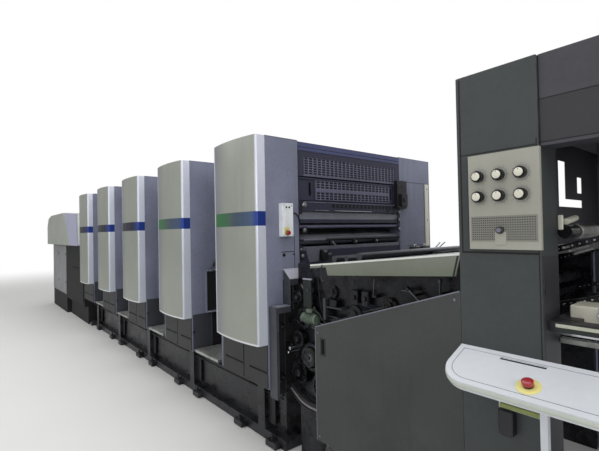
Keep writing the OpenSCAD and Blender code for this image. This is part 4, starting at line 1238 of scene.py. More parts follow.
def deck(x: float) -> float:
    """Height of the sloping platform's upper face."""
    box, low_end = Span.of("platform_cover"), 1316
    return box.z1 - (box.z1 - low_end) * (box.x1 - x) / (box.x1 - box.x0)


@dataclass(frozen=True)
class PlatformPaint(Paint):
    """Platform cover: dark oily top, painted highlight along the edge and grey skirt."""

    top: Colour = (70, 72, 78)
    skirt: Colour = (118, 123, 112)
    skirt_low: Colour = (105, 111, 97)
    thick: float = 0.0095

    def draw(self, tree: Tree) -> None:
        """Draws top, painted edge highlight and skirt by the distance under the sloping face.

        Args:
            tree: tree of the material.
        """
        box = Span.of("platform_cover")
        x, _, z = tree.split(tree.place())
        slope = (deck(box.x1) - deck(box.x0)) / (box.x1 - box.x0)
        along = tree.math("MULTIPLY", tree.math("SUBTRACT", x, box.x1 / MM + CORNER.x), slope)
        under = tree.math("SUBTRACT", tree.math("ADD", along, box.z1 / MM), z)
        # painted highlight: the band just under the top face takes the light base colour
        below = tree.ramp(under, self.thick - 0.0015, self.thick + 0.001)
        flat = tree.math("MULTIPLY", tree.ramp(tree.facing(Axis.Z), 0.75, 0.9), tree.less(below))
        skirt = tree.mix(tree.ramp(under, 0.01, 0.1), linear(self.skirt), linear(self.skirt_low))
        self.shade(tree, tree.mix(flat, tree.mix(below, linear(self.colour), skirt), linear(self.top)))


@dataclass
class Platform:
    """Strips, clamps, hooks and bars on and under the sloping platform."""

    def build(self) -> None:
        """Builds the platform's details."""
        box = Span.of("platform_cover")
        part = Draft("platform_details", "sheet_grey", "bright_steel", "black_plastic", "seam_and_shade_black", "gear_iron")
        for x, width, y0, y1, lift in ((456, 30, 215, 1170, 16), (548, 22, 215, 830, 26)):
            z = deck(x)
            part.block((x, y0, z + lift - 12), (x + width, y1, z + lift), 2)
            part.block((x + width, y0, z + lift - 11), (x + width + 5, y1, z + lift - 3), 1, 3)
            for y in spread(y0 + 40, y1 - 40, 220):
                part.block((x + 2, y - 10, z - 4), (x + width - 2, y + 10, z + lift - 10), 1, 4)
        z = deck(500)
        for y in (930, 1050):
            part.block((478, y, z), (545, y + 55, z + 68), 6, 2)
            part.bar((512, y + 28, z + 66), (512, y + 28, z + 80), 12, 1)
        part.block((490, 990, z), (530, 1045, z + 40), 4, 1)
        z = deck(520)
        part.bars(((500, 1170, z + 4), (530, 1260, z + 85), 6, 1), ((500, 1200, z + 4), (530, 1330, z + 85), 6, 1))
        coil = around(800, 900, 85, 12)
        part.hose([(x, y, deck(x) + 7) for x, y in (*coil, coil[0])], 7, 8, 2, 4)
        part.hose([(553, 10, 1320), (553, -6, 1310), (553, -8, 1260), (556, -10, 1238),
                   (566, -10, 1228), (576, -10, 1236)], 3.2, 8, 4, 4)
        for x, y in product(spread(box.x0 + 50, box.x1 - 60, 210), (45, box.y1 - 45)):
            part.lathe((x, y, deck(x) - 1), UP, [(0, 8), (2.5, 7)], 16, 1)
        z = deck(1370)
        part.slab([(z - 10, 1386), (z - 10, 1378), (z - 98, 1356), (z - 98, 1364)], Axis.Y, -0.8, 2, 3)
        start, end = box.x0 + 300, box.x1
        seam = [(deck(x) + dz, x) for x, dz in ((start, 0), (end, 0), (end, 0.6), (start, 0.6))]
        for y in (660, 1290):
            part.slab(seam, Axis.Y, y, y + 4, 3)
        part.made("platform_metal")


@dataclass
class DeliverySides:
    """Side panel, towers, header and the drive side housing of the delivery."""

    panel_low: float = 957

    def build(self) -> None:
        """Builds the details of the delivery's sides."""
        self.side_panel()
        self.towers()
        self.header()
        self.drive_side()

    def side_panel(self) -> None:
        """Grip rim, screws and edges of the side panel."""
        box = Span.of("delivery_os_panel")
        part = Draft("side_panel_details", "black_sheet", "bright_steel", "sheet_grey")
        x0, x1, z0, z1, rim = 532, 558, 808, 892, 8
        for a, b in ((x0 - rim, x0), (x1, x1 + rim)):
            part.block((a, box.y0 - 2, z0 - rim), (b, box.y0 + 4, z1 + rim), 0.8)
        for a, b in ((z0 - rim, z0), (z1, z1 + rim)):
            part.block((x0 - rim, box.y0 - 2, a), (x1 + rim, box.y0 + 4, b), 0.8)
        slope = (box.z1 - self.panel_low) / (box.x1 - box.x0)
        top = [(self.panel_low + slope * (x - box.x0) + dz, x) for x, dz in
               ((box.x0 + 4, -4), (box.x1 - 4, -4), (box.x1 - 4, 1.5), (box.x0 + 4, 1.5))]
        part.slab(top, Axis.Y, box.y0 - 1, box.y0 + 30, 2)
        for x, z in ((505, 925), (505, 330), (1362, 1215), (1362, 330)):
            part.bolt((x, box.y0, z), FRONT, 4, 2)
        part.block((box.x0 - 1, box.y0 - 1, box.z0), (box.x0 + 3, box.y0 + 30, self.panel_low - 4), 1, 2)
        part.made("panel_grey")

    def towers(self) -> None:
        """Seams, hinges and bolts of both towers."""
        box, far = Span.of("delivery_os_tower"), Span.of("delivery_ds_tower")
        part = Draft("tower_details", "seam_and_shade_black", "bright_steel", "tower_paint", "black_plastic", "return_lilac")
        part.block((box.x1 - 1, 14, 300), (box.x1 + 1, box.y1 - 7, 1405), 0.5, 4)
        part.block((box.x1 - 8, -0.8, 300), (box.x1 - 4, 4, box.z1 - 300), 0.4)
        part.block((box.x0 + 12, -0.8, 1420), (box.x0 + 18, 3, box.z1 - 10), 0.4)
        part.block((box.x0 + 12, -0.8, 1412), (box.x1 - 8, 3, 1420), 0.4)
        part.block((box.x0 + 12, -0.8, 1806), (box.x1 - 8, 3, 1810), 0.4)
        for z in (420, 860, 1300, 1900):
            part.bar((box.x1 - 2, 20, z - 30), (box.x1 - 2, 20, z + 30), 7, 3)
        part.bolts((box.x0 + 40, box.x1 - 40), (35, 130, far.y0 + 35, far.y1 - 35), (box.z1,), UP, 8, 1)
        y = far.y1
        for z0, z1 in ((40, 700), (710, 1400), (1410, 2120)):
            part.block((far.x0 + 12, y - 2, z0), (far.x1 - 12, y + 8, z1), 3, 2)
            part.bar((far.x1 - 45, y + 8, (z0 + z1) / 2), (far.x1 - 45, y + 13, (z0 + z1) / 2), 13, 1)
        part.made("delivery_charcoal")

    def header(self) -> None:
        """Seams, bolts, top strips and ribs of the header."""
        box, tower = Span.of("delivery_header"), Span.of("delivery_os_tower")
        part = Draft("header_details", "seam_and_shade_black", "bright_steel", "header_paint", "return_lilac")
        low = box.z1 - 330
        part.block((tower.x1 + 4, box.y0 - 1.2, low + 15), (box.x1 - 4, box.y0 + 2, 1966), 0.6, 3)
        for y in (box.y0 - 0.8, box.y1 - 2):
            part.block((tower.x1, y, 1966), (box.x1 - 4, y + 2.8, 1970), 0.4)
            part.block((tower.x1, y, low + 12), (box.x1 - 4, y + 2.8, low + 15), 0.4)
            for x in (2050, 2400):
                part.block((x, y, 1970), (x + 4, y + 2.8, box.z1 - 4), 0.4)
        part.bolts(spread(tower.x1 + 60, box.x1 - 60, 300), (box.y0 + 50, box.y1 - 50), (box.z1,), UP, 8, 1)
        for x in (2000, 2350):
            part.block((x, box.y0 + 120, box.z1 - 1), (x + 10, box.y1 - 120, box.z1 + 4), 2, 2)
        for z in spread(1860, 2080, 28):
            part.block((box.x1 - 2, 450, z), (box.x1 + 5, 1500, z + 12), 3, 2)
            part.block((box.x1 - 1, 450, z + 12), (box.x1 + 1, 1500, z + 20), 0.5)
        part.made("delivery_charcoal")

    def drive_side(self) -> None:
        """Doors and louvres of the drive side housing."""
        box = Span.of("delivery_ds_housing")
        y = box.y1
        part = Draft("delivery_drive_doors", "housing_paint", "seam_and_shade_black", "ground_steel")
        for x0, x1 in ((box.x0 + 10, 440), (450, 900), (910, box.x1 - 10)):
            top = deck(max(x0, 448)) - 60
            part.block((x0, y - 2, 120), (x1, y + 8, top), 3)
            for z in (300, top - 120):
                part.bar((x1 - 40, y + 8, z), (x1 - 40, y + 12, z), 13, 2)
            for z in spread(200, 300, 22):
                part.block((x0 + 80, y + 6, z), (x1 - 120, y + 8.5, z + 9), 0.6, 1)
        part.made("housing_grey")


@dataclass
class KnobPanel:
    """Caps and rings of the knobs, and the perforated plate under them."""

    cap: float = 15.5
    ring: float = 29

    def build(self) -> None:
        """Builds the panel's details."""
        panel = Span.of("knob_panel")
        face = panel.y0
        part = Draft("knob_panel_details", "seam_and_shade_black", "mesh_plate_paint", "knob_plate_paint", "black_plastic",
                     "bright_steel", "sheet_grey")
        for row, column in product((1, 2), (1, 2, 3)):
            node = f"knob_{row}{column}"
            box = Span.of(node)
            x, z = (box.x0 + box.x1) / 2, (box.z0 + box.z1) / 2
            self.knob(node, x, z, box.y0)
            rings = [(-0.4, self.ring), (0.6, self.ring - 0.4), (0.6, self.ring - 1.6), (-0.4, self.ring - 2)]
            part.lathe((x, face, z), FRONT, rings, 36, 5)
            for mx, mz in around(x, z, 34, 12, math.radians(-60))[:11]:
                part.lathe((mx, face, mz), FRONT, [(-0.3, 1.1), (0.5, 1)], 8)
        low, high, left, right = 1461, 1557, panel.x0 + 8, panel.x1 - 10
        part.block((left, face - 2, low), (right, face + 1, high), 1, 1)
        for z in spread(low + 8, high - 8, 8.5):
            for x in spread(left + 8, right - 8, 8.5):
                part.lathe((x, face - 2, z), FRONT, [(-0.4, 2.8), (0.4, 2.6)], 6)
        part.block((1545, face - 3.5, 1447), (1587, face + 1, 1497), 1, 2)
        # painted shadow: a dark strip along the panel's left edge
        part.block((panel.x0 - 4, face + 2, panel.z0 + 4), (panel.x0 + 1, panel.y1, panel.z1 - 4), 0.5)
        part.lathe((1566, face - 3.5, 1503), FRONT, [(0, 14.5), (10, 13.5), (13, 10.5), (13, 9), (14, 8.5)], 24, 3)
        part.lathe((1566, face - 16.5, 1503), FRONT, [(0, 9), (2, 8.5)], 20, 5)
        part.made("knob_plate")

    def knob(self, node: str, x: float, z: float, front: float) -> None:
        """Adds the flutes and the cream cap of one knob.

        Args:
            node: the knob's CAD node and body.
            x: middle of the knob.
            z: middle of the knob.
            front: y of its front.
        """
        part = Draft(f"{node}_cap", "dial_cream", "black_plastic", "sheet_grey")
        r = self.cap
        part.lathe((x, front + 1, z), FRONT, [(0, r), (2.5, r), (4.2, r - 1.8), (4.6, r - 4)], 32)
        part.lathe((x, front - 3.4, z), FRONT, [(0, 7.5), (1.2, 7.2), (1.2, 6)])
        part.block((x - 0.9, front - 4.2, z + 8), (x + 0.9, front - 2.8, z + r - 2), 0.3, 1)
        for fx, fz in around(x, z, 20.7, 18):
            part.bar((fx, front + 3, fz), (fx, front + 22, fz), 1.9, 1, 8, 0.5)
        part.made("knob_black", node)


@dataclass
class DeliveryInside:
    """What shows between the operator side tower and the end post: brake box, rollers, rails and boards."""

    def build(self) -> None:
        """Builds the pieces inside the delivery."""
        part = Draft("delivery_inside", "black_sheet", "box_white", "bright_steel", "worn_alloy", "gear_iron",
                     "dial_cream", "black_plastic", "rail_cream", "hatch_green")
        part.blocks(((1698, 90, 1165), (1780, 290, 1178), 3, 0), ((1735, 150, 1158), (1821, 300, 1222), 4, 1))
        brake = Span.of("sheet_brake")
        part.blocks(
            ((1724, brake.y0 - 4, 1157), (brake.x1 - 4, brake.y0 + 2, 1169), 1, 7),
            ((1724, brake.y0 - 3, 1142), (brake.x1 - 4, brake.y0 + 2, 1157), 1, 8),
            ((1690, 150, 1106), (1830, 190, 1120), 2, 2), ((1700, 150, 1076), (1860, 176, 1096), 2, 3),
            ((1700, 160, 1500), (1716, 176, 1556), 3, 1),
        )
        part.bars(
            ((1720, 170, 1492), (1720, 640, 1492), 26, 4), ((1720, 280, 1492), (1720, 500, 1492), 30, 3),
            ((1718, 190, 1530), (1718, 300, 1545), 12, 5),
        )
        for y, z in ((300, 1430), (360, 1415), (420, 1400)):
            part.bar((1702, y - 100, z), (1702, y + 140, z + 12), 5, 3)
        for x in (1840, 1960, 2080, 2200):
            part.bar((x, 112, 1200), (x, 1840, 1200), 12, 2, 16)
            for y in spread(300, 1650, 270):
                part.lathe((x, y, 1200), REAR, [(0, 26), (4, 30), (30, 30), (34, 26)], 20, 6)
        for y in spread(400, 1560, 145):
            part.block((1720, y - 12, 1226), (2300, y + 12, 1240), 3, 4)
        for x in spread(1780, 2540, 95):
            part.block((x - 30, 330, 180), (x + 30, 1622, 196), 3, 3)
        part.made("chain_black")
        self.chain_links()

    def chain_links(self) -> None:
        """Link plates with cut corners and pins along both gripper chains."""
        box = Span.of("gripper_chains")
        radius, thick, wide, long, cut = 120, 24, 22, 11, 6
        low, high = Vector((box.x0 + radius, 0, box.z0 + radius)), Vector((box.x1 - radius, 0, box.z1 - radius))
        way = (high - low).normalized()
        over = Vector((-way.z, 0, way.x))
        plate = [(-long, -cut), (-cut, -long), (cut, -long), (long, -cut), (long, cut), (cut, long), (-cut, long),
                 (-long, cut)]
        part = Draft("chain_links", "chain_iron", "bright_steel")
        for y, side in product((box.y0, box.y1 - wide), (-1, 1)):
            for along in spread(0, (high - low).length, 25.4):
                middle = low + way * along + over * (radius - thick / 2) * side
                corners = [middle + way * a + over * b for a, b in plate]
                for start in (y - 3, y + wide - 1):
                    part.slab([(corner.z, corner.x) for corner in corners], Axis.Y, start, start + 4)
                part.bar((middle.x, y - 5, middle.z), (middle.x, y + wide + 5, middle.z), 4, 1, 8, 0.5)
        part.made("chain_black")




@dataclass
class ControlDesk:
    """Nose, keys, stop button and bracket of the control desk."""

    tilt: float = 22.0
    high: float = 1040
    deep: float = 200
    round_end: float = 108
    stop_share: float = 0.69

    def at(self, x: float, run: float, lift: float = 0) -> Point:
        """Point on the desk's sloping face, a run down from its rear edge and a lift over it."""
        angle = math.radians(self.tilt)
        return (x, -run * math.cos(angle) - lift * math.sin(angle),
                self.high - run * math.sin(angle) + lift * math.cos(angle))

    def pad(self, part: Draft, x: float, run: float, size: Point, tint: int, lift: float = 0) -> None:
        """Adds a small block that lies on the face.

        Args:
            part: piece that takes the block.
            x: its middle along the line.
            run: its middle down the slope.
            size: its length, depth and height.
            tint: index of the finish.
            lift: gap under it.
        """
        middle = Vector(self.at(x, run, lift + size[2] / 2))
        half = Vector(size) / 2
        part.block(middle - half, middle + half, 1.2, tint, Matrix.Rotation(math.radians(self.tilt), 3, "X"))

    def build(self) -> None:
        """Builds the desk's details."""
        box = Span.of("control_desk")
        part = Draft("desk_details", "desk_nose_paint", "sheet_grey", "seam_and_shade_black", "desk_paint", "lug_green",
                     "black_sheet", "bright_steel")
        slope = self.deep / math.cos(math.radians(self.tilt))
        x0, x1 = box.x0, box.x1
        radius, edge, line = self.round_end, 12, 24
        corner = (x0 + radius, slope - radius)
        bend = [math.pi - math.pi / 2 * i / 12 for i in range(13)]
        ways = {}
        for name, inset in (("nose", edge), ("line", line)):
            turn = [(corner[0] + (radius - inset) * math.cos(a),
                     corner[1] + (radius - inset) * math.sin(a)) for a in bend]
            ways[name] = [(x0 + inset, inset), *turn, (x1 - edge, slope - inset)]
        part.hose([self.at(x, run, -17) for x, run in ways["nose"]], 16.5, 12, 0, 1)
        part.hose([self.at(x, run) for x, run in ways["line"]], 1.1, 6, 1, 1)
        self.pad(part, (x0 + x1) / 2, line, (x1 - x0 - 2 * line, 1.6, 1.8), 1, -1)
        self.pad(part, 1640, 40, (156, 7, 1.5), 2, -0.5)
        self.pad(part, 1640, 33, (160, 3, 2), 6, -0.5)
        for row in range(3):
            for column in range(5):
                self.pad(part, 1900 + 30 * column, 70 + 30 * row, (19, 17, 1.6), 3, -0.5)
        for column in range(6):
            self.pad(part, 2120 + 45 * column, 90, (30, 26, 4), 3, -0.5)
            self.pad(part, 2120 + 45 * column, 135, (30, 26, 4), 1 if column == 2 else 3, -0.5)
        self.stop(Span.of("desk_stop_button"))
        part.block((1560, -52, 850), (1700, -28, 868), 3, 4)
        part.block((1548, -40, 742), (1600, 0, 838), 5, 5)
        part.block((1690, -58, 0), (1730, -22, 10), 3, 5)
        part.bolts((1560, 1686), (-34,), (868,), UP, 6, 6)
        part.made("desk_white")

    def stop(self, box: Span) -> None:
        """Adds the yellow ring and the mushroom head of the stop button.

        Args:
            box: the button's box.
        """
        angle = math.radians(self.tilt)
        up = (0, -math.sin(angle), math.cos(angle))
        x, run = (box.x0 + box.x1) / 2, self.stop_share * self.deep / math.cos(angle)
        collar = Draft("desk_stop_ring", "ring_yellow", "black_plastic")
        collar.lathe(self.at(x, run), up, [(-1, 39), (2, 39), (3, 37), (3, 18)], 36)
        collar.lathe(self.at(x, run), up, [(1, 16.5), (9, 15.5), (10, 12)], 24, 1)
        collar.made("desk_white")
        head = Draft("desk_stop_head", "stop_red")
        head.lathe(self.at(x, run, 21.5), up, [(0, 18.6), (2.2, 17.8), (4, 15), (5.2, 10), (5.7, 4)], 32)
        head.made("stop_red", "desk_stop_button")


@dataclass
class LineBase:
    """Kick panels, treads and bed along the line of units."""

    tear: float = 30
    kick: float = 600
    slot_starts: tuple[float, float] = (42, 73)
    slot_z: float = 564

    def build(self) -> None:
        """Builds the pieces along the line."""
        self.kick_panels()
        self.treads()
        self.bed()

    def kick_panels(self) -> None:
        """Dark strips of painted shade at the bottoms of the kick panels' grip slots."""
        box = Span.of("lower_panels")
        part = Draft("kick_panel_details", "seam_and_shade_black", "panel_paint")
        for k in UNITS:
            face, rear = Span.of(f"unit_{k}_guards").x1, Span.of(f"unit_{k}_housings").x0
            part.block((rear + 2, -1.2, 450.5), (face - 1, 1, box.z0 - 0.5), 0.3, 1)
            for start, end in ((0.0, 0.5), (0.5, 1.0)):
                x0, x1 = face - self.kick * (1 - start), face - self.kick * (1 - end)
                slot = x0 + (self.slot_starts[1] if start else self.slot_starts[0])
                # painted shade: a dark strip on the housing face seen through the slot
                part.block((slot, -1.2, self.slot_z - 7), (x1 - 4, 1, self.slot_z + 7), 0.3)
        part.made("panel_grey")

    def treads(self) -> None:
        """Tear pattern and screws of the treads."""
        box = Span.of("gallery_treads")
        before = box.x0 - Span.of("unit_1_guards").x1
        free = Span.of(f"unit_{LAST}_housings").x0 - box.x1
        for k in UNITS[:-1]:
            x0 = Span.of(f"unit_{k}_guards").x1 + before + 15
            x1 = Span.of(f"unit_{k + 1}_housings").x0 - free - 15
            y0, y1, z = box.y0 + 15, box.y1 - 15, box.z1
            part = Draft(f"tread_{k}_pattern", "worn_alloy", "dull_steel")
            for i, y in enumerate(spread(y0, y1, self.tear)):
                for j, x in enumerate(spread(x0, x1, self.tear)):
                    self.lozenge(part, x, y, z, 1 if (i + j) % 2 else -1)
            for x in (x0 - 2, x1 + 2):
                for y in (y0 + 30, 900, y1 - 80):
                    part.lathe((x, y, z - 1), UP, [(0, 7), (2.5, 6)], 12, 1)
            part.made("tread_plate")

    def lozenge(self, part: Draft, x: float, y: float, z: float, way: int) -> None:
        """Adds one raised tear of the tread.

        Args:
            part: piece that takes the tear.
            x: its middle along the line.
            y: its middle across the line.
            z: height of the tread.
            way: 1 or -1, the side it leans to.
        """
        long, wide, tall = 11, 3.5, 1.8
        turn, middle = Matrix.Rotation(math.radians(45 * way), 3, "Z"), Vector((x, y, z))
        levels, corners = ((-0.5, 1.0), (tall, 0.45)), ((-long, 0), (0, -wide), (long, 0), (0, wide))
        points = [middle + turn @ Vector((a * share, b * share, level)) for level, share in levels for a, b in corners]
        part.skin(points, 4, 0)

    def bed(self) -> None:
        """Feet, cover plates, bolts and fixed pipes of the bed."""
        box = Span.of("machine_bed")
        part = Draft("bed_details", "bed_iron_oiled", "chain_iron", "black_sheet", "hose_black")
        for k in UNITS:
            unit = Span.of(f"unit_{k}_housings")
            x0, x1 = unit.x0, Span.of(f"unit_{k}_guards").x1
            for x in (x0 + 100, x1 - 100):
                for y0, y1 in ((box.y0 - 50, box.y0 + 20), (box.y1 - 20, box.y1 + 50)):
                    part.block((x - 60, y0, 0), (x + 60, y1, 45), 6)
                    y = (y0 + y1) / 2 + (-12 if y0 < 1000 else 12)
                    part.bolt((x, y, 45), UP, 16, 1)
                    part.bar((x, y, 55), (x, y, 85), 9, 1)
            middle = (x0 + x1) / 2
            for y, face in ((box.y0, -1), (box.y1, 1)):
                inner = y + (48 * -face)
                low, high = sorted((inner, inner + face * 14))
                part.block((middle - 170, low, 110), (middle + 170, high, 350), 5, 2)
                for x in (middle - 150, middle + 150):
                    for z in (130, 330):
                        part.bolt((x, inner + face * 14, z), (0, face, 0), 7, 1)
        for y, radius in ((box.y0 + 30, 10), (box.y0 + 26, 8)):
            z = 365 if radius > 9 else 338
            part.hose([(x, y, z) for x in spread(box.x0 + 50, box.x1 - 50, 600)], radius, 8, 3, 2)
        part.made("bed_iron")


@dataclass
class GalleryFaces:
    """Details of the faces that look into the galleries between the units."""

    def build(self) -> None:
        """Builds the pieces of units one to four's delivery faces and of every feeder side face."""
        for k in UNITS:
            if k != LAST:
                self.delivery_face(k)
            self.feeder_face(k)

    def delivery_face(self, k: int) -> None:
        """Lips of the service frame, lock, lower sheet bolts and handle bar.

        Args:
            k: number of the unit.
        """
        unit = PrintingUnit(k)
        f = unit.face
        part = Draft(f"unit_{k}_face_details", "bright_steel", "black_sheet", "sheet_grey", "black_plastic",
                     "seam_and_shade_black", "casing_paint")
        part.block((f + 12.5, 150, 800), (f + 15, 252, 1156), 0.5, 4)
        part.block((f - 2, 200, 470), (f + 1.2, unit.inner0 - 2, 780), 0.5, 1)
        part.block((f - 2, 12, 470), (f + 1, 196, 780), 0.5, 5)
        for z in (786, 1166):
            part.block((f + 10, 142, z - 5), (f + 26, 286, z + 5), 1)
        part.lathe((f, 212, 1224), AHEAD, [(0, 10), (14, 10), (16, 26), (30, 24), (33, 14)])
        part.lathe((f, 20, 625), AHEAD, [(0, 12), (6, 11), (6, 6), (3, 5)], 20, 3)
        y0, y1 = unit.inner0 + 40, unit.inner1 - 40
        for y in spread(y0, y1, 270):
            part.bolts((f - 10,), (y,), (620, 1250), AHEAD, 7)
        part.bar((f + 30, y0 + 200, 1480), (f + 30, y1 - 200, 1480), 12)
        for y in (y0 + 240, y1 - 240):
            part.bar((f - 20, y, 1480), (f + 32, y, 1480), 8, 1)
        for y in (y0 + 80, y1 - 140):
            part.block((f - 12, y, 1520), (f + 6, y + 60, 1590), 5, 3)
        part.made("guard_black")

    def feeder_face(self, k: int) -> None:
        """Bolts, seams and handles of the sheet on the feeder side.

        Args:
            k: number of the unit.
        """
        unit = PrintingUnit(k)
        x = unit.rear
        part = Draft(f"unit_{k}_rear_details", "guard_paint", "bright_steel", "seam_and_shade_black", "black_plastic")
        y0, y1 = unit.inner0 + 20, unit.inner1 - 20
        middle = (y0 + y1) / 2
        for z0, z1 in ((600, 1280), (1300, 2040)):
            for a, b in ((y0, middle - 6), (middle + 6, y1)):
                part.block((x - 6, a, z0), (x + 2, b, z1), 3)
                part.bolts((x - 6,), (a + 25, b - 25), (z0 + 25, z1 - 25), BACK, 5, 1)
                centre = (a + b) / 2
                part.bar((x - 30, centre - 70, z1 - 120), (x - 30, centre + 70, z1 - 120), 7, 3)
                for y in (centre - 65, centre + 65):
                    part.bar((x - 5, y, z1 - 120), (x - 30, y, z1 - 120), 6, 3)
        part.made("guard_black")


@dataclass
class Feeder:
    """Seams, latches, head, board and table details of the feeder."""

    def build(self) -> None:
        """Builds the feeder's details."""
        self.hood()
        self.cabinets()
        self.head()
        self.table()

    def hood(self) -> None:
        """Seams, bolts and slot of the silver hood and its end plate."""
        box, plate = Span.of("feeder_hood"), Span.of("feeder_end_plate")
        part = Draft("hood_details", "seam_and_shade_black", "bright_steel", "black_sheet")
        for y in (-1, box.y1 - 2):
            for x in (-7600, -6800):
                part.block((x, y, box.z0 + 10), (x + 5, y + 3, box.z0 + 60), 0.5)
        for x in spread(-8200, -6100, 350):
            part.bolt((x, -1, box.z0 + 30), FRONT, 8, 1)
        part.block((-6350, -3, box.z0 + 45), (-6100, 2, box.z0 + 62), 1)
        part.bolts((plate.x0 + 250, plate.x1 - 60), (plate.y0 + 30,), (plate.z0 + 40,), FRONT, 6, 1)
        part.made("cover_silver")

    def cabinets(self) -> None:
        """Doors, latches and vents of the feeder's cabinets."""
        box = Span.of("feeder_cabinets")
        part = Draft("cabinet_details", "cabinet_dark", "seam_and_shade_black", "black_plastic", "cabinet_grey")
        for y, face in ((box.y0, -1), (box.y1, 1)):
            low, high = sorted((y, y + face * 10))
            for x0, x1 in ((-8380, -7660), (-7650, -6930)):
                part.block((x0, low, 360), (x1, high, 1320), 5, 3)
                for z in (560, 1120):
                    part.block((x1 - 75, low - 4, z), (x1 - 45, high + 4, z + 60), 4, 2)
            part.blocks(((-6400, low, 360), (-5460, high, 930), 4, 0), ((-6400, low, 945), (-5460, high, 1320), 4, 0))
            for z in spread(460, 620, 26):
                part.block((-6200, low - 1, z), (-5800, high + 1, z + 11), 1, 1)
        part.made("delivery_charcoal")

    def head(self) -> None:
        """Suckers, blowers, rods and knobs of the feeder head."""
        box = Span.of("feeder_head")
        part = Draft("feeder_head_details", "ground_steel", "black_plastic", "roller_rubber", "hose_black",
                     "sheet_grey")
        for y in spread(box.y0 + 280, box.y1 - 280, 260):
            part.block((box.x1 - 220, y - 30, box.z1 - 1), (box.x1 - 40, y + 30, box.z1 + 50), 6, 4)
            part.bar((box.x1 - 60, y, box.z1 + 50), (box.x1 - 60, y, box.z1 + 100), 12, 1)
            part.bar((box.x1 - 30, y, box.z0 - 60), (box.x1 - 30, y, box.z0 + 80), 14)
            part.lathe((box.x1 - 30, y, box.z0 - 60), DOWN, [(0, 12), (6, 26), (12, 28), (14, 10)], 20, 2)
            part.hose([(box.x1 - 160, y + 20, box.z1 + 30), (box.x1 - 220, y + 60, box.z1 + 90),
                       (box.x1 - 320, y + 50, box.z1 + 60), (box.x1 - 380, y + 20, box.z1)], 12, 10, 3)
        for x in (box.x0 + 100, box.x0 + 300):
            part.bar((x, box.y0 + 20, box.z1 + 30), (x, box.y1 - 20, box.z1 + 30), 16)
            for y in (box.y0 + 80, box.y1 - 100):
                part.block((x - 25, y, box.z1 - 1), (x + 25, y + 30, box.z1 + 60), 4, 1)
        part.made("guard_black")

    def table(self) -> None:
        """Belts and wheels of the feed table, and slats of the pile board."""
        box = Span.of("feed_table")
        low, high = Vector((box.x0, 0, box.z1)), Vector((box.x1, 0, box.z0 + 40))
        part = Draft("feed_table_details", "roller_rubber", "ground_steel", "black_plastic")
        way = (high - low).normalized()
        over = Vector((-way.z, 0, way.x))
        end = (high - low).length - 30
        spots = [low + way * along + over * lift for along, lift in ((30, -2), (end, -2), (end, 3), (30, 3))]
        for y in spread(box.y0 + 180, box.y1 - 180, 165):
            part.slab([(spot.z, spot.x) for spot in spots], Axis.Y, y - 22, y + 22)
        for share in (0.22, 0.5, 0.78):
            spot = low + (high - low) * share + over * 70
            part.bar((spot.x, box.y0 + 20, spot.z), (spot.x, box.y1 - 20, spot.z), 12, 1)
            for y in spread(box.y0 + 180, box.y1 - 180, 330):
                wheel = spot - over * 40
                part.lathe((wheel.x, y - 12, wheel.z), REAR, [(0, 22), (3, 26), (21, 26), (24, 22)], 20, 2)
                part.block((min(spot.x, wheel.x) - 6, y - 18, wheel.z), (max(spot.x, wheel.x) + 6, y - 12, spot.z), 2,
                           1)
        for y in (box.y0 + 20, box.y1 - 40):
            for share in (0.22, 0.5, 0.78):
                spot = low + (high - low) * share
                part.block((spot.x - 15, y, spot.z - 5), (spot.x + 15, y + 20, spot.z + 85), 3, 1)
        board = Span.of("feeder_pile_board")
        for x in spread(board.x0 + 50, board.x1 - 50, 100):
            part.block((x - 35, board.y0 + 10, board.z1 - 1), (x + 35, board.y1 - 10, board.z1 + 10), 3, 1)
        part.made("cylinder_steel")


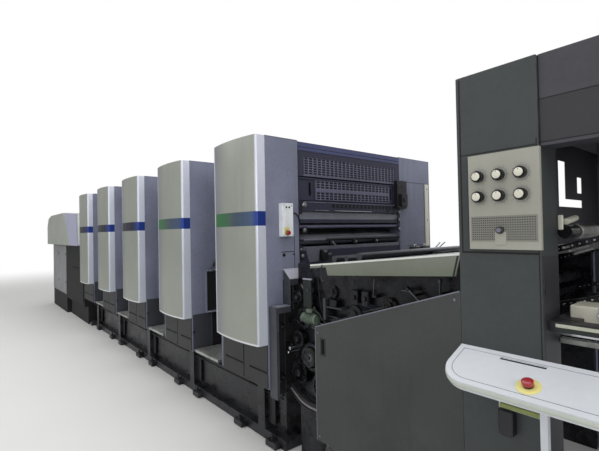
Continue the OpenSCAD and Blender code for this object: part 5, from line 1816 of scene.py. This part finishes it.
@dataclass
class Studio:
    """Floor, lights and the camera at the photograph's viewing angle."""

    place: Point = (2.2676, -1.5762, 1.5131)
    yaw: float = 50.470
    pitch: float = 0.8215
    roll: float = -1.1186
    focal_px: float = 407.2353
    image_w: int = 599
    sensor: float = 36.0
    floor_half: float = 60.0

    def camera(self) -> None:
        """Sets the camera by its fit to the photograph."""
        yaw, pitch, roll = (math.radians(a) for a in (self.yaw, self.pitch, self.roll))
        ahead = Vector((-math.sin(yaw) * math.cos(pitch), math.cos(yaw) * math.cos(pitch), math.sin(pitch)))
        right = Vector((math.cos(yaw), math.sin(yaw), 0.0))
        up = right.cross(ahead)
        side = right * math.cos(roll) + up * math.sin(roll)
        over = up * math.cos(roll) - right * math.sin(roll)
        data = bpy.data.cameras.new("photo_camera")
        data.sensor_fit = "HORIZONTAL"
        data.sensor_width = self.sensor
        data.lens = self.focal_px * self.sensor / self.image_w
        data.clip_start = 0.05
        data.clip_end = 200.0
        camera = add_object("photo_camera", data)
        turn = Matrix((side, over, -ahead)).transposed().to_4x4()
        camera.matrix_world = Matrix.Translation(CORNER + Vector(self.place)) @ turn
        bpy.context.scene.camera = camera

    def lamp(self, name: str, place: Point, target: Point, size: tuple[float, float], power: float) -> None:
        """Adds a soft rectangular lamp.

        Args:
            name: name of the lamp.
            place: where it hangs, in the frame's axes.
            target: where it points.
            size: length and width.
            power: its power in watts.
        """
        data = bpy.data.lights.new(name, "AREA")
        data.shape = "RECTANGLE"
        data.size, data.size_y = size
        data.energy = power
        lamp = add_object(name, data)
        lamp.location = place
        lamp.rotation_euler = (Vector(target) - Vector(place)).to_track_quat("-Z", "Y").to_euler()

    def lights(self) -> None:
        """Soft lamps over and around the press."""
        self.lamp("overhead", (0, -1.0, 7.0), (0, 0, 0), (14, 7), 450)
        self.lamp("operator_fill", (1.5, -8.0, 4.0), (0.5, 0, 1.0), (10, 4), 145)
        self.lamp("delivery_fill", (11.0, -2.0, 4.0), (2.0, 0, 1.2), (5, 4), 250)
        self.lamp("drive_fill", (0, 8.0, 4.5), (0, 0, 1.0), (12, 4), 190)

    def world(self) -> None:
        """Even grey sky for light and reflections, and white where the camera sees it."""
        world = bpy.data.worlds.new("studio")
        bpy.context.scene.world = world
        world.use_nodes = True
        tree = Tree(world.node_tree)
        rays = tree.node("ShaderNodeLightPath").outputs
        seen = tree.math("MAXIMUM", rays["Is Camera Ray"], rays["Is Transmission Ray"])
        strength = tree.blend(seen, 0.38, 1.0)
        sky = tree.node("ShaderNodeBackground", {"Color": (1, 1, 1, 1), "Strength": strength})
        tree.node("ShaderNodeOutputWorld", {"Surface": sky.outputs[0]})

    def floor(self) -> None:
        """Pale floor that fades to white far from the press."""
        half = self.floor_half
        mesh = bpy.data.meshes.new("floor")
        corners = [(-half, -half, -0.001), (half, -half, -0.001), (half, half, -0.001), (-half, half, -0.001)]
        mesh.from_pydata(corners, [], [(0, 1, 2, 3)])
        floor = add_object("floor", mesh)
        material = bpy.data.materials.new("floor_pale")
        material.use_nodes = True
        tree = Tree(material.node_tree)
        near = tree.node("ShaderNodeBsdfPrincipled", {"Base Color": linear((226, 226, 224)), "Roughness": 0.75})
        white = tree.node("ShaderNodeEmission", {"Color": (1, 1, 1, 1), "Strength": 1.0})
        seen = tree.node("ShaderNodeLightPath").outputs["Is Camera Ray"]
        away = tree.node("ShaderNodeVectorMath", {0: tree.place()}, operation="LENGTH").outputs["Value"]
        share = tree.math("MULTIPLY", tree.ramp(away, 6.5, 17.0), seen)
        mixed = tree.node("ShaderNodeMixShader", {0: share, 1: near.outputs[0], 2: white.outputs[0]})
        tree.close(mixed)
        mesh.materials.append(material)

    def build(self) -> None:
        """Sets up the whole studio."""
        bpy.context.scene.view_settings.view_transform = "Standard"
        self.camera()
        self.lights()
        self.world()
        self.floor()


# Finish of a CAD node and the width of its rounded edges.
PLAIN_DRESS: dict[str, tuple[str, float]] = {
    "machine_bed": ("bed_iron_oiled", 4), "lower_panels": ("panel_paint", 3), "gallery_treads": ("worn_alloy", 3),
    "plate_cylinder": ("ground_steel", 0), "blanket_cylinder": ("blanket_rubber", 0), "swing_guard": ("guard_paint", 0),
    "step_casing": ("casing_paint", 1.5), "guard_bracket": ("black_sheet", 4), "gear_train": ("gear_iron", 0),
    "delivery_frames": ("gear_iron", 3), "delivery_os_panel": ("side_panel_paint", 2),
    "delivery_ds_housing": ("housing_paint", 3), "delivery_ties": ("gear_iron", 0), "gripper_chains": ("chain_iron", 0),
    "platform_rig": ("dull_steel", 0), "delivery_os_tower": ("tower_paint", 4), "delivery_ds_tower": ("tower_paint", 4),
    "delivery_header": ("header_paint", 3), "delivery_end_posts": ("tower_paint", 4),
    "pile_lift": ("ground_steel", 1.5), "sheet_brake": ("black_sheet", 2), "knob_panel": ("knob_plate_paint", 2),
    "control_desk": ("desk_paint", 4), "desk_stop_button": ("stop_red", 0), "pendant_panel": ("panel_white", 3),
    "pendant_stop_button": ("stop_red", 0), "feeder_cabinets": ("cabinet_dark", 4), "feeder_hood": ("hood_silver", 4),
    "feeder_end_plate": ("end_plate_paint", 2), "feeder_head": ("black_sheet", 3),
    "feeder_pile_board": ("worn_alloy", 3), "feed_table": ("worn_alloy", 2),
}


def main() -> None:
    """Builds the studio and every sub-assembly in order."""
    logging.basicConfig(level=logging.INFO, format="%(message)s")
    Studio().build()
    for node, (name, width) in PLAIN_DRESS.items():
        dress(node, finish(name), width)
    for row, column in product((1, 2), (1, 2, 3)):
        dress(f"knob_{row}{column}", finish("black_plastic"))
    for number in UNITS:
        unit = PrintingUnit(number)
        unit.dress()
        unit.build()
    # the light base colour is the painted highlight along the platform's edge
    paint = PlatformPaint("platform_paint", (222, 225, 220), 0.38, 0.08, 0.3, 0.2, 0.05, 0.0, (120, 120, 118), 0.3)
    dress("platform_cover", paint.material(), 2)
    for group in (LastUnitFace(), Pendant(), GearSide(), Platform(), DeliverySides(), KnobPanel(), DeliveryInside(),
                  ControlDesk(), LineBase(), GalleryFaces(), Feeder()):
        log.info("-- %s", type(group).__name__)
        group.build()


if __name__ == "__main__":
    main()
